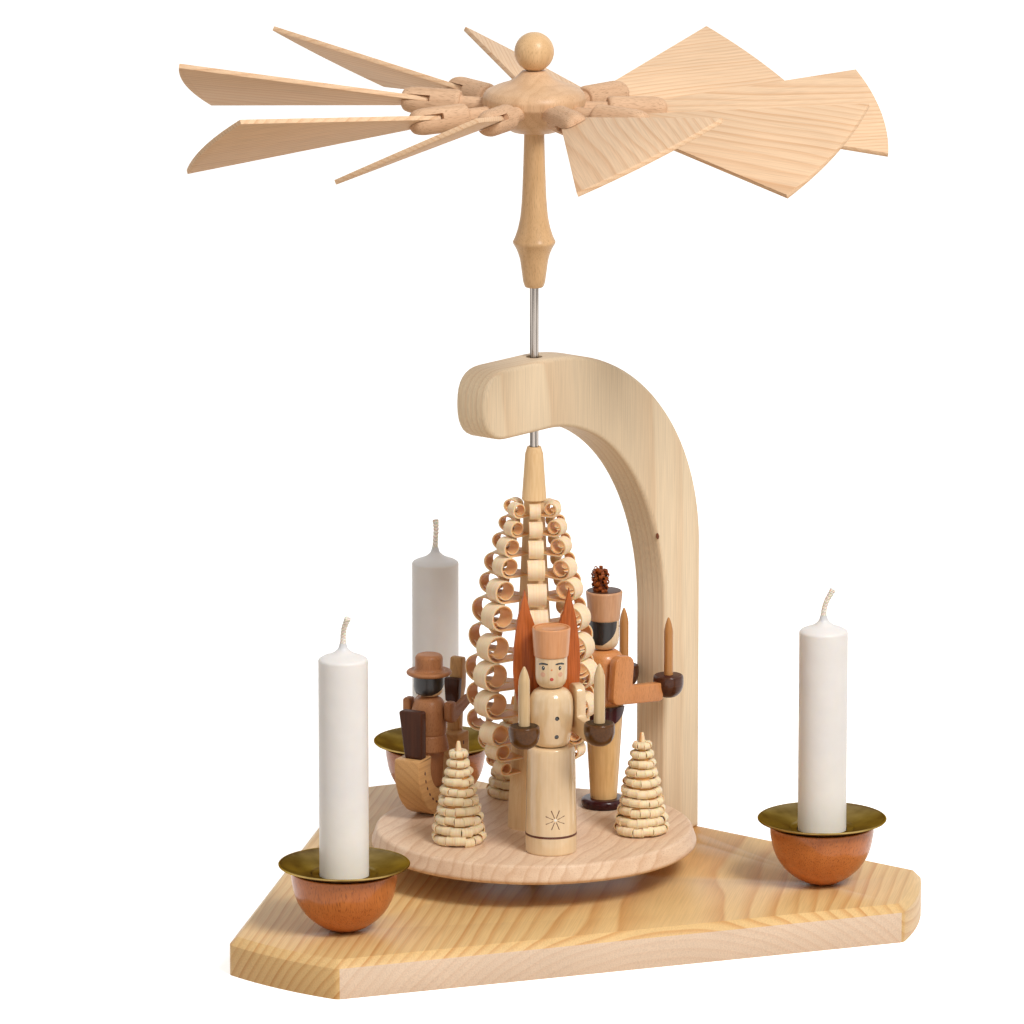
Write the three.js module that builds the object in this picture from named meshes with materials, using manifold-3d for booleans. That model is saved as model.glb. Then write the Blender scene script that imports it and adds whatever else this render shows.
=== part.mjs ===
// Christmas pyramid: warm air from three candles turns a nine-bladed rotor, whose steel spindle
// hangs a plate of figures under a wooden arch.
// Millimetres, +Z up. The origin is on the spindle's axis, at the underside of the base board.
// The arch stands towards +Y, one candle stands towards -Y and the other two to either side of the arch.

import * as THREE from 'three';
import { mergeVertices } from 'three/addons/utils/BufferGeometryUtils.js';
import Module from 'manifold-3d';

const wasm = await Module();
wasm.setup();

// Base board: a three-cornered pine board with cut, slightly bowed ends and a chamfered top edge
const baseThickness = 11;
const baseEdgeDistance = 72.6;
const baseEndRadius = 112.2;
const baseCornerRound = 1.4;
const baseChamfer = 2.2;

// Arch: one board, bent like a hook by its saw cut, which stands on the base
const archThickness = 11.3;
const archLegInner = 53.7;
const archLegWidth = 16.7;
const archNoseReach = 28.4;
const archTop = 151.9;
const archArmDepth = 20.5;
const archOuterSpring = 86;
const archInnerSpring = 68;
const archInnerStart = 0;
const archNoseTopRound = 9;
const archNoseLowRound = 11;
const archEdgeRound = 1.3;
const archHoleRadius = 2.4;

// Screws that hold the arch's foot from below
const screwHeadRadius = 3.3;
const screwHeadHeight = 2.2;
const screwShankRadius = 1.5;
const screwLength = 27;
const screwPointLength = 3;
const screwSpacing = 8.4;

// Spindle, its glass bearing in the base and its guide in the arch
const rodRadius = 1.25;
const rodPointLength = 2.4;
const bearingRadius = 4.2;
const bearingHeight = 6;
const bearingStand = 1;
const bearingDimpleRadius = 2.6;
const bearingDimpleDepth = 3;
const guideBoreRadius = 1.5;
const guideLength = 9;

// Turning plate that carries the figures
const plateTop = 13.6;
const plateThickness = 5.6;
const plateRadius = 47.2;
const plateBevel = 1.7;
const plateLipHeight = 1;

// Curled tree: a turned cone whose shavings are lifted and curled with the chisel
const treeTop = 125.7;
const trunkBottomRadius = 7.7;
const trunkTopRadius = 2.1;
const trunkTipRadius = 2.45;
const trunkNeckRadius = 3.55;
const carvedFootHeight = 12.4;
const carvedTopDrop = 15.4;
const curlRows = 6;
const curlRowOffsetDegrees = -46.5;
const curlTopDrop = 2.6;
const curlLargest = 8.9;
const curlSizeShares = [0.52, 0.58, 0.65, 0.72, 0.8, 0.92, 0.98, 1, 0.94, 0.76, 0.62, 0.48];
const curlStackShare = 0.993;
const curlReach = 19.4;
const curlReachShares = [0.42, 0.5, 0.59, 0.67, 0.76, 0.87, 0.95, 1, 0.98, 0.9, 0.78, 0.66];
const curlWidth = 6.2;
const curlWidthShares = [0.74, 0.77, 0.8, 0.84, 0.88, 0.92, 0.96, 1, 1, 0.96, 0.9, 0.84];
const curlThickness = 0.6;
const curlStartDegrees = 262;
const curlSweepDegrees = 315;
const curlSteps = 5;
const curlEndShare = 0.5;
const curlRootShare = 0.85;

// Rotor: hub, finial ball, handle, and blades in slit dowels
const bladeRise = 6.6;
const hubRadius = 14.7;
const hubFootRadius = 6.3;
const hubHeight = 17.7;
const hubRimHeight = 2.5;
const hubRimRise = 7.9;
const hubNeckRadius = 3;
const ballRadius = 5.65;
const handleArchGap = 20.2;
const handleLength = 45;
const handleRadius = 6.1;
const handleTopRadius = 2.85;
const bladeCount = 9;
const bladePhaseDegrees = 47.6;
const bladePitchDegrees = 25.5;
const bladeTwistDegrees = [-3, 0, 2.5, 1.5, -3, 1, -0.4, -2, 0.5];
const bladeTurnDegrees = [3.4, 0, 2.1, -0.6, 1, -3, 1.2, 0.5, -2.6];
const bladeDroopDegrees = [2.6, 0, 1.7, -1.5, -2.2, 2.4, -1.8, -1, 1.6];
const bladeTipRadius = 101.4;
const bladeTipHalfWidth = 22.9;
const bladeRootRadius = 30;
const bladeRootHalfWidth = 2.3;
const bladeThickness = 1.4;
const holderRadius = 3.85;
const holderInner = 21.1;
const holderOuter = 38.4;
const holderEndLength = 2.4;
const stemRadius = 2.2;
const stemInset = 6.2;

// Candle holders: a beech bowl with a plug-in pin, a brass pan and a candle
const holderInset = 28.2;
const bowlRadius = 14.95;
const bowlTopHeight = 17.5;
const pinRadius = 2;
const pinLength = 7;
const panRimRadius = 18.5;
const panRimHeight = 19.3;
const panWall = 0.6;
const panDishRadius = 9.3;
const panDishHeight = 16.3;
const panRollHeight = 0.3;
const candleRadius = 7;
const candleLengths = [76.2, 72.4, 71.8];
const candleConeHeight = 2.4;
const candleConeRadius = 2.2;
const candleBottomHeight = 4.8;
const wickRadius = 0.9;
const wickLength = 10;
const wickBend = 2.6;

// Angel
const angelPlace = { inset: 18.4, azimuthDegrees: -40.8 };
const angelSkirtRadius = 7.4;
const angelSkirtHeight = 31;
const angelTorsoRadius = 6.4;
const angelTorsoHeight = 16.6;
const angelHeadRadius = 4.6;
const angelHeadHeight = 9.3;
const angelCrownRadius = 5.5;
const angelCrownHeight = 8.5;
const wingHeight = 41;
const wingBottom = 34;
const wingHalfWidth = 9.7;
const wingThickness = 2;
const angelArmBottom = 34;

// Miner
const minerPlace = { inset: 17.1, azimuthDegrees: 86.9 };
const minerTurnDegrees = -2;
const minerStandRadius = 6.6;
const minerStandHeight = 2.8;
const minerLegHeight = 28.4;
const minerLegBottomRadius = 3.9;
const minerLegTopRadius = 5.7;
const minerTorsoRadius = 6.4;
const minerTorsoHeight = 16;
const minerHeadRadius = 4.4;
const minerHeadHeight = 8.9;
const minerHatRadius = 5.4;
const minerHatHeight = 8.6;
const plumeRadius = 2.7;
const plumeHeight = 7.4;
const plumeOffset = 1.6;
const minerArmBottom = 30.6;
const minerArmTiltDegrees = 5;
const apronHeight = 7;
const apronRadius = 6.6;
const apronFrontShare = 0.36;
const apronCornerShare = 1.2;

// Arms and lights, which the angel and the miner share
const armThickness = 2.8;
const armHeight = 14.4;
const armBack = 5.4;
const armFront = 2;
const forearmHeight = 5.4;
const forearmReach = 14.6;
const armRound = 2.2;
const lightReach = 17.8;
const lightBowlRadius = 4.5;
const lightBowlHeight = 6.6;
const lightBowlRise = 0.8;
const lightCandleRadius = 1.5;
const lightCandleHeight = 17.2;
const lightPointHeight = 3.6;
const angelSplayDegrees = 8.7;
const minerSplayDegrees = 3;

// Rider on a rocking horse, who travels round with the plate
const horsePlace = { inset: 13.7, azimuthDegrees: -167.8 };
const horseHeadingDegrees = 103;
const horseThickness = 8.2;
const rockerRadius = 16;
const rockerWall = 7.6;
const rockerRearHeight = 19;
const rockerFrontHeight = 21.6;
const horseHeadThickness = 4;
const horseHeadReach = 5.3;
const horseHeadHeight = 23;
const horseHeadInset = 2.7;
const horseHeadSink = 1.6;
const maneWidth = 5;
const maneDepth = 2.4;
const maneHeight = 7;
const tailHeight = 14;
const tailTopWidth = 7.4;
const tailFootWidth = 5.4;
const tailThickness = 3.2;
const riderSetback = 1.6;
const riderHipRadius = 5.8;
const riderHipHeight = 19.2;
const riderJacketHeight = 4.6;
const riderTorsoRadius = 5.2;
const riderTorsoHeight = 11.4;
const riderHeadRadius = 4.35;
const riderHeadHeight = 6.4;
const brimRadius = 6.7;
const brimThickness = 1.3;
const hatCrownRadius = 4.05;
const hatCrownHeight = 4.8;
const riderArmThickness = 2.4;
const riderArmWidth = 3.8;
const riderArmReach = 13.2;
const riderLegThickness = 5;

// Small ringlet trees between the figures
const smallTreeInsets = [18.5, 15, 11.2];
const smallTreeAzimuthDegrees = [-99.6, 24.1, 139];
const smallTreeHeight = 29.8;
const smallTreeRadius = 7.8;
const smallTreeTiers = 7;
const smallTreeTipHeight = 2;
const smallTreeTipRadius = 0.8;
const smallTreeTopShare = 0.27;
const smallTreeGrooveShare = 0.72;

// Clearances, overruns and weld tolerance
const seatGap = 0.3;
const fitGap = 0.15;
const cutOver = 5;
const joinOver = 0.6;
const weldTolerance = 0.0001;

// Number of faces round turned pieces
const plateSides = 32;
const fineSides = 18;
const midSides = 12;
const smallSides = 12;
const stemSides = 10;
const lightSides = 8;

// Materials, with the colours of the photographed wood, brass and wax
const woods = {
  pine: [0xe9c88d, 0.55],
  archPine: [0xecd3a4, 0.55],
  plateBeech: [0xd9b896, 0.6],
  bowlBeech: [0xc0743a, 0.35],
  hubBeech: [0xdcb68c, 0.5],
  handleBeech: [0xdcb27c, 0.5],
  dowelBeech: [0xc39a78, 0.7],
  bladePine: [0xebc69a, 0.6],
  shaving: [0xeccfa0, 0.6],
  angelWood: [0xead3a0, 0.3],
  peach: [0xe2a070, 0.4],
  wing: [0xc8733f, 0.45],
  minerWood: [0xd09a60, 0.4],
  leather: [0x3a1a18, 0.35],
  hatWood: [0xdab596, 0.4],
  riderWood: [0x9c6a45, 0.6],
  horseWood: [0xd9ae74, 0.55],
  darkWood: [0x3a241c, 0.6],
};
const wood = {};
for (const [name, [color, roughness]] of Object.entries(woods)) {
  wood[name] = new THREE.MeshStandardMaterial({ color, roughness, metalness: 0 });
}
const steel = new THREE.MeshStandardMaterial({ color: 0x9a9a98, roughness: 0.3, metalness: 1 });
const brass = new THREE.MeshStandardMaterial({ color: 0x8a7a3c, roughness: 0.3, metalness: 1 });
const glass = new THREE.MeshStandardMaterial({ color: 0xdfe6e4, roughness: 0.1, metalness: 0 });
const wax = new THREE.MeshStandardMaterial({ color: 0xf2efe8, roughness: 0.4, metalness: 0 });

const radians = THREE.MathUtils.degToRad;

// Turns a closed geometry into a solid: shared vertices are merged, triangles that shrink to nothing
// are dropped, and the faces are turned outwards.
function solidOf(geometry) {
  const bare = geometry.clone();
  bare.deleteAttribute('normal');
  bare.deleteAttribute('uv');
  const merged = mergeVertices(bare, weldTolerance);
  const position = merged.attributes.position;
  const index = merged.index.array;
  const kept = [];
  let volume = 0;
  const a = new THREE.Vector3();
  const b = new THREE.Vector3();
  const c = new THREE.Vector3();
  for (let i = 0; i < index.length; i += 3) {
    const [p, q, r] = [index[i], index[i + 1], index[i + 2]];
    if (p === q || q === r || r === p) continue;
    kept.push([p, q, r]);
    a.fromBufferAttribute(position, p);
    b.fromBufferAttribute(position, q);
    c.fromBufferAttribute(position, r);
    volume += a.dot(b.cross(c));
  }
  const faces = volume < 0 ? kept.map(([p, q, r]) => [p, r, q]) : kept;
  const mesh = new wasm.Mesh({
    numProp: 3,
    vertProperties: new Float32Array(position.array),
    triVerts: new Uint32Array(faces.flat()),
  });
  return new wasm.Manifold(mesh);
}

// Turns a solid back into a geometry with flat faces
function geometryOf(solid) {
  const mesh = solid.getMesh();
  const geometry = new THREE.BufferGeometry();
  geometry.setAttribute('position', new THREE.BufferAttribute(new Float32Array(mesh.vertProperties), 3));
  geometry.setIndex(new THREE.BufferAttribute(new Uint32Array(mesh.triVerts), 1));
  geometry.computeVertexNormals();
  return geometry;
}

function joined(...geometries) {
  return geometryOf(geometries.map(solidOf).reduce((whole, next) => whole.add(next)));
}

function cut(geometry, ...tools) {
  return geometryOf(tools.map(solidOf).reduce((whole, next) => whole.subtract(next), solidOf(geometry)));
}

// A piece turned on a lathe about Z, from a profile of [radius, height] points
function turned(profile, sides) {
  const points = profile.map(([radius, height]) => new THREE.Vector2(radius, height));
  const lathe = new THREE.LatheGeometry(points, sides);
  lathe.rotateX(Math.PI / 2);
  return geometryOf(solidOf(lathe));
}

function cylinder(radius, bottom, top, sides) {
  return turned([[0, bottom], [radius, bottom], [radius, top], [0, top]], sides);
}

// A profile whose points are shares of a radius and of a height
function scaledProfile(shares, radius, height, bottom = 0) {
  return shares.map(([r, h]) => [r * radius, bottom + h * height]);
}

// A board cut to a shape, centred on its thickness; its outline lies in the plane of forward and up
function board(shape, thickness, { round = 0, curveSteps = 6 } = {}) {
  const extrusion = new THREE.ExtrudeGeometry(shape, {
    depth: thickness - 2 * round,
    curveSegments: curveSteps,
    bevelEnabled: round > 0,
    bevelThickness: round,
    bevelSize: round,
    bevelOffset: -round,
    bevelSegments: 1,
  });
  extrusion.translate(0, 0, round - thickness / 2);
  return extrusion;
}

// Stands a board upright: its outline's first axis points along forward and its second along +Z
function upright(geometry, forward, side) {
  const basis = new THREE.Matrix4().makeBasis(forward, new THREE.Vector3(0, 0, 1), side);
  geometry.applyMatrix4(basis);
  return geometry;
}

const alongX = new THREE.Vector3(1, 0, 0);
const alongY = new THREE.Vector3(0, 1, 0);
const againstY = new THREE.Vector3(0, -1, 0);

const pyramid = new THREE.Group();
const onBase = new THREE.Group();
onBase.position.z = baseThickness;
pyramid.add(onBase);

function addPiece(name, geometry, material, parent) {
  const mesh = new THREE.Mesh(geometry, material);
  mesh.name = name;
  parent.add(mesh);
  return mesh;
}

function polar(radius, degrees) {
  return [radius * Math.cos(radians(degrees)), radius * Math.sin(radians(degrees))];
}

const holderAzimuths = [-90, 30, 150];
const holderCircleRadius = baseEndRadius - holderInset;

// Base board
function baseOutline() {
  const halfEnd = 60 - THREE.MathUtils.radToDeg(Math.acos(baseEdgeDistance / baseEndRadius));
  const roundDegrees = THREE.MathUtils.radToDeg(baseCornerRound / baseEndRadius);
  const shape = new THREE.Shape();
  holderAzimuths.forEach((azimuth, k) => {
    const cornerIn = polar(baseEndRadius, azimuth - halfEnd);
    const cornerOut = polar(baseEndRadius, azimuth + halfEnd);
    const [inX, inY] = polar(baseCornerRound, azimuth - 60 + 90);
    const [outX, outY] = polar(baseCornerRound, azimuth + 60 + 90);
    const arcStart = polar(baseEndRadius, azimuth - halfEnd + roundDegrees);
    if (k === 0) shape.moveTo(cornerIn[0] - inX, cornerIn[1] - inY);
    else shape.lineTo(cornerIn[0] - inX, cornerIn[1] - inY);
    shape.quadraticCurveTo(...cornerIn, ...arcStart);
    const from = radians(azimuth - halfEnd + roundDegrees);
    const to = radians(azimuth + halfEnd - roundDegrees);
    shape.absarc(0, 0, baseEndRadius, from, to, false);
    shape.quadraticCurveTo(...cornerOut, cornerOut[0] + outX, cornerOut[1] + outY);
  });
  shape.closePath();
  return shape;
}

const bearingSink = bearingHeight - bearingStand;
const archLegOuter = archLegInner + archLegWidth;
const screwPlaces = [-screwSpacing / 2, screwSpacing / 2].map((step) => archLegInner + archLegWidth / 2 + step);

function screwProfile(gap, below) {
  const head = screwHeadRadius + gap;
  const shank = screwShankRadius + gap;
  const tip = screwLength + gap;
  const start = [[0, -below], [head, -below]];
  if (below > 0) start.push([head, 0]);
  return [...start, [shank, screwHeadHeight + gap], [shank, tip - screwPointLength], [0, tip]];
}

function baseBoard() {
  const board = new THREE.ExtrudeGeometry(baseOutline(), {
    depth: baseThickness - baseChamfer,
    curveSegments: 4,
    bevelThickness: baseChamfer,
    bevelSize: baseChamfer,
    bevelOffset: -baseChamfer,
    bevelSegments: 1,
  });
  const below = new THREE.BoxGeometry(4 * baseEndRadius, 4 * baseEndRadius, 2 * cutOver);
  below.translate(0, 0, -cutOver);
  const tools = [below];
  const bearingHole = bearingRadius + fitGap;
  tools.push(cylinder(bearingHole, baseThickness - bearingSink, baseThickness + cutOver, smallSides));
  for (const azimuth of holderAzimuths) {
    const hole = cylinder(pinRadius + fitGap, baseThickness - pinLength - fitGap, baseThickness + cutOver, smallSides);
    hole.translate(...polar(holderCircleRadius, azimuth), 0);
    tools.push(hole);
  }
  for (const place of screwPlaces) {
    const hole = turned(screwProfile(fitGap, cutOver), smallSides);
    hole.translate(0, place, 0);
    tools.push(hole);
  }
  return cut(board, ...tools);
}

addPiece('base_board', baseBoard(), wood.pine, pyramid);

screwPlaces.forEach((place, k) => {
  const screw = addPiece(`arch_screw_${k + 1}`, turned(screwProfile(0, 0), smallSides), steel, pyramid);
  screw.position.y = place;
});

// Arch
function archShape() {
  const shape = new THREE.Shape();
  const arm = archTop - archArmDepth;
  shape.moveTo(archLegInner, 0);
  shape.lineTo(archLegOuter, 0);
  shape.lineTo(archLegOuter, archOuterSpring);
  shape.absellipse(0, archOuterSpring, archLegOuter, archTop - archOuterSpring, 0, Math.PI / 2, false, 0);
  shape.lineTo(archNoseTopRound - archNoseReach, archTop);
  shape.quadraticCurveTo(-archNoseReach, archTop, -archNoseReach, archTop - archNoseTopRound);
  shape.lineTo(-archNoseReach, arm + archNoseLowRound);
  shape.quadraticCurveTo(-archNoseReach, arm, archNoseLowRound - archNoseReach, arm);
  shape.lineTo(archInnerStart, arm);
  const innerReach = archLegInner - archInnerStart;
  shape.absellipse(archInnerStart, archInnerSpring, innerReach, arm - archInnerSpring, Math.PI / 2, 0, true, 0);
  shape.closePath();
  return shape;
}

function archBow() {
  const arch = upright(
    board(archShape(), archThickness, { round: archEdgeRound, curveSteps: 8 }),
    alongY,
    alongX,
  );
  const hole = cylinder(archHoleRadius, archTop - archArmDepth - cutOver, archTop + cutOver, smallSides);
  const tools = [hole];
  for (const place of screwPlaces) {
    const bore = turned(screwProfile(fitGap, 0), smallSides);
    bore.translate(0, place, -baseThickness);
    tools.push(bore);
  }
  return cut(arch, ...tools);
}

addPiece('arch_bow', archBow(), wood.archPine, onBase);

// Bearing, guide and spindle
const bearing = addPiece('bearing_cup', turned([
  [0, 0],
  [bearingRadius, 0],
  [bearingRadius, bearingHeight],
  [bearingDimpleRadius, bearingHeight],
  [0, bearingHeight - bearingDimpleDepth],
], smallSides), glass, onBase);
bearing.position.z = -bearingSink;

const guideRadius = archHoleRadius - fitGap;
const guide = addPiece('guide_bush', turned([
  [guideBoreRadius, 0],
  [guideRadius, 0],
  [guideRadius, guideLength],
  [guideBoreRadius, guideLength],
  [guideBoreRadius, 0],
], smallSides), brass, onBase);
guide.position.z = archTop - archArmDepth;

const carousel = new THREE.Group();
onBase.add(carousel);

const handleBottom = archTop + handleArchGap;
const hubBottom = handleBottom + handleLength;
const rotorHeight = hubBottom + bladeRise;
const rodBottom = bearingStand - bearingDimpleDepth + seatGap;
const rodTop = hubBottom + hubRimRise;
const rod = turned([
  [0, rodBottom],
  [rodRadius, rodBottom + rodPointLength],
  [rodRadius, rodTop],
  [0, rodTop],
], smallSides);
addPiece('spindle_rod', rod, steel, carousel);
const rodHole = rodRadius + fitGap;

// Turning plate
const plateBottom = plateTop - plateThickness;
addPiece('turntable', turned([
  [rodHole, plateBottom],
  [plateRadius - plateLipHeight, plateBottom],
  [plateRadius, plateBottom + plateLipHeight],
  [plateRadius - plateBevel, plateTop],
  [rodHole, plateTop],
  [rodHole, plateBottom],
], plateSides), wood.plateBeech, carousel);

// Curled tree: each shaving leaves a flat of the trunk, passes under its curl and winds into it
function trunkRadiusAt(height) {
  const share = (height - plateTop) / (treeTop - plateTop);
  return trunkBottomRadius + (trunkTopRadius - trunkBottomRadius) * share;
}

const rowAngle = Math.PI / curlRows;
const carvedBottom = plateTop + carvedFootHeight;
const carvedTop = treeTop - carvedTopDrop;

function curl(height, size, reach, width) {
  const centre = reach - size / 2;
  const flat = trunkRadiusAt(height) * Math.cos(rowAngle);
  const rootHalf = Math.min(width / 2, curlRootShare * flat * Math.tan(rowAngle));
  const low = height - size / 2;
  const outline = [[flat - joinOver, low + curlThickness, flat - joinOver, low, rootHalf]];
  for (let k = 0; k <= curlSteps; k += 1) {
    const share = k / curlSteps;
    const angle = radians(curlStartDegrees + curlSweepDegrees * share);
    const outer = size / 2 * (1 - (1 - curlEndShare) * share);
    const inner = outer - curlThickness;
    const [cos, sin] = [Math.cos(angle), Math.sin(angle)];
    outline.push([centre + inner * cos, height + inner * sin, centre + outer * cos, height + outer * sin, width / 2]);
  }
  const vertices = [];
  for (const [innerX, innerZ, outerX, outerZ, half] of outline) {
    vertices.push(innerX, -half, innerZ, outerX, -half, outerZ, innerX, half, innerZ, outerX, half, outerZ);
  }
  const faces = [];
  const quad = (a, b, c, d) => faces.push(a, b, c, a, c, d);
  const last = 4 * (outline.length - 1);
  for (let n = 0; n < last; n += 4) {
    quad(n, n + 4, n + 5, n + 1);
    quad(n + 1, n + 5, n + 7, n + 3);
    quad(n + 3, n + 7, n + 6, n + 2);
    quad(n + 2, n + 6, n + 4, n);
  }
  quad(0, 1, 3, 2);
  quad(last, last + 2, last + 3, last + 1);
  const geometry = new THREE.BufferGeometry();
  geometry.setAttribute('position', new THREE.Float32BufferAttribute(vertices, 3));
  geometry.setIndex(faces);
  return geometry;
}

function cone(bottom, top, bottomRadius, topRadius, sides) {
  return turned([[0, bottom], [bottomRadius, bottom], [topRadius, top], [0, top]], sides);
}

function curledTree() {
  const footTopRadius = trunkRadiusAt(carvedBottom);
  const foot = cone(plateTop, carvedBottom, trunkBottomRadius, footTopRadius, midSides);
  const carved = cone(carvedBottom, carvedTop, footTopRadius, trunkRadiusAt(carvedTop), curlRows);
  carved.rotateZ(radians(curlRowOffsetDegrees));
  const cap = cone(carvedTop, treeTop, trunkNeckRadius, trunkTipRadius, midSides);
  let tree = solidOf(joined(foot, carved, cap));
  let height = carvedTop - curlTopDrop;
  curlSizeShares.forEach((sizeShare, k) => {
    const size = curlLargest * sizeShare;
    if (k > 0) height -= curlStackShare * (size + curlLargest * curlSizeShares[k - 1]) / 2;
    for (let row = 0; row < curlRows; row += 1) {
      const strip = curl(height, size, curlReach * curlReachShares[k], curlWidth * curlWidthShares[k]);
      strip.rotateZ(radians(curlRowOffsetDegrees + row * 360 / curlRows));
      tree = tree.add(solidOf(strip));
    }
  });
  const bore = cylinder(rodHole, plateTop - cutOver, treeTop + cutOver, smallSides);
  return geometryOf(tree.subtract(solidOf(bore)));
}

addPiece('curl_tree', curledTree(), wood.shaving, carousel);

// Rotor hub, handle and ball
const hubUndersideShares = [
  [0.67, 0.26],
  [0.85, 0.64],
  [1, 1],
];
const hubDomeShares = [
  [0.94, 0.16],
  [0.78, 0.34],
  [0.55, 0.48],
  [0.36, 0.68],
  [0.25, 0.92],
];
const hubRimBottom = hubBottom + hubRimRise;
const hubRimTop = hubRimBottom + hubRimHeight;
const hubTop = hubBottom + hubHeight;

function bladeAngles(k) {
  return {
    azimuth: bladePhaseDegrees + k * 360 / bladeCount + bladeTurnDegrees[k],
    droop: bladeDroopDegrees[k],
    pitch: bladePitchDegrees + bladeTwistDegrees[k],
  };
}

// Puts a piece that lies along +X, flat in the XY plane, into its blade's place on the hub
function intoRotor(object, { azimuth, droop, pitch }) {
  object.rotation.set(radians(pitch), radians(droop), radians(azimuth), 'ZYX');
  object.position.z = rotorHeight;
}

const stemInner = hubRadius - stemInset;

function rotorHub() {
  const profile = [
    [0, hubBottom],
    [hubFootRadius, hubBottom],
    ...scaledProfile(hubUndersideShares, hubRadius, hubRimRise, hubBottom),
    [hubRadius, hubRimTop],
    ...scaledProfile(hubDomeShares, hubRadius, hubTop - hubRimTop, hubRimTop),
    [hubNeckRadius, hubTop],
    [0, hubTop],
  ];
  const tools = [cylinder(rodHole, hubBottom - cutOver, rodTop + seatGap, smallSides)];
  for (let k = 0; k < bladeCount; k += 1) {
    const hole = cylinder(stemRadius + fitGap, stemInner - seatGap, hubRadius + cutOver, stemSides);
    hole.rotateY(Math.PI / 2);
    const holder = new THREE.Object3D();
    intoRotor(holder, bladeAngles(k));
    holder.updateMatrix();
    hole.applyMatrix4(holder.matrix);
    tools.push(hole);
  }
  return cut(turned(profile, fineSides), ...tools);
}

addPiece('rotor_hub', rotorHub(), wood.hubBeech, carousel);

const handleShares = [
  [0.44, 0],
  [0.5, 0.03],
  [0.61, 0.13],
  [0.66, 0.19],
  [0.82, 0.25],
  [1, 0.29],
  [0.84, 0.345],
  [0.64, 0.44],
  [0.57, 0.57],
  [0.5, 0.83],
];
addPiece('spindle_handle', turned([
  [rodHole, handleBottom],
  ...scaledProfile(handleShares, handleRadius, handleLength, handleBottom),
  [handleTopRadius, hubBottom],
  [rodHole, hubBottom],
  [rodHole, handleBottom],
], midSides), wood.handleBeech, carousel);

const ball = new THREE.SphereGeometry(ballRadius, midSides, midSides / 2);
ball.rotateX(Math.PI / 2);
const ballBottom = new THREE.BoxGeometry(2 * ballRadius, 2 * ballRadius, ballRadius);
const ballFlat = Math.sqrt(ballRadius ** 2 - (hubNeckRadius * 0.8) ** 2);
ballBottom.translate(0, 0, -ballFlat - ballRadius / 2);
const finial = addPiece('finial_ball', cut(ball, ballBottom), wood.handleBeech, carousel);
finial.position.z = hubTop + ballFlat;

// Blades and their slit dowels
function bladeShape() {
  const shape = new THREE.Shape();
  const tip = Math.atan2(bladeTipHalfWidth, Math.sqrt(bladeTipRadius ** 2 - bladeTipHalfWidth ** 2));
  shape.moveTo(bladeRootRadius, -bladeRootHalfWidth);
  shape.lineTo(bladeTipRadius * Math.cos(tip), -bladeTipHalfWidth);
  shape.absarc(0, 0, bladeTipRadius, -tip, tip, false);
  shape.lineTo(bladeRootRadius, bladeRootHalfWidth);
  shape.closePath();
  return shape;
}

function bladeHolder() {
  const dowel = turned([
    [0, stemInner],
    [stemRadius, stemInner],
    [stemRadius, holderInner],
    [holderRadius, holderInner],
    [holderRadius, holderOuter - holderEndLength],
    [holderRadius * 0.7, holderOuter],
    [0, holderOuter],
  ], stemSides);
  dowel.rotateY(Math.PI / 2);
  const slitLength = holderOuter - bladeRootRadius + seatGap + cutOver;
  const slit = new THREE.BoxGeometry(slitLength, 2 * holderRadius + cutOver, bladeThickness + 2 * fitGap);
  slit.translate(bladeRootRadius - seatGap + slitLength / 2, 0, 0);
  return cut(dowel, slit);
}

for (let k = 0; k < bladeCount; k += 1) {
  const holder = addPiece(`blade_holder_${k + 1}`, bladeHolder(), wood.dowelBeech, carousel);
  intoRotor(holder, bladeAngles(k));
  const blade = addPiece(`blade_${k + 1}`, board(bladeShape(), bladeThickness, { curveSteps: 3 }), wood.bladePine, carousel);
  intoRotor(blade, bladeAngles(k));
}

// Candle holders
const dishSlope = (panRimHeight - panDishHeight) / (panRimRadius - panDishRadius);
const socketRadius = candleRadius + fitGap;
const socketBottom = candleBottomHeight - panWall - fitGap;

function candleBowl() {
  const profile = [[0, -pinLength], [pinRadius, -pinLength], [pinRadius, 0]];
  const arcSteps = 4;
  for (let k = 0; k <= arcSteps; k += 1) {
    const angle = Math.asin(1.6 * pinRadius / bowlRadius) * (1 - k / arcSteps) + Math.PI / 2 * k / arcSteps;
    profile.push([bowlRadius * Math.sin(angle), bowlRadius * (1 - Math.cos(angle))]);
  }
  const flatShift = profile[3][1];
  for (const point of profile.slice(3)) point[1] -= flatShift * (bowlTopHeight - point[1]) / bowlTopHeight;
  const seatInner = socketRadius + panWall + fitGap;
  const seatHeight = (radius) => panDishHeight - panWall - fitGap + dishSlope * (radius - panDishRadius);
  profile.push([bowlRadius, seatHeight(bowlRadius)]);
  profile.push([panDishRadius, seatHeight(panDishRadius)]);
  profile.push([seatInner, seatHeight(panDishRadius)]);
  profile.push([seatInner, socketBottom - fitGap], [0, socketBottom - fitGap]);
  return turned(profile, fineSides);
}

function dripPan() {
  const outer = socketRadius + panWall;
  return turned([
    [0, socketBottom],
    [outer, socketBottom],
    [outer, panDishHeight - panWall],
    [panDishRadius, panDishHeight - panWall],
    [panRimRadius - panWall, panRimHeight - panWall],
    [panRimRadius, panRimHeight],
    [panRimRadius - panWall, panRimHeight + panRollHeight],
    [panDishRadius, panDishHeight],
    [socketRadius, panDishHeight],
    [socketRadius, socketBottom + panWall],
    [0, socketBottom + panWall],
  ], fineSides);
}

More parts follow.
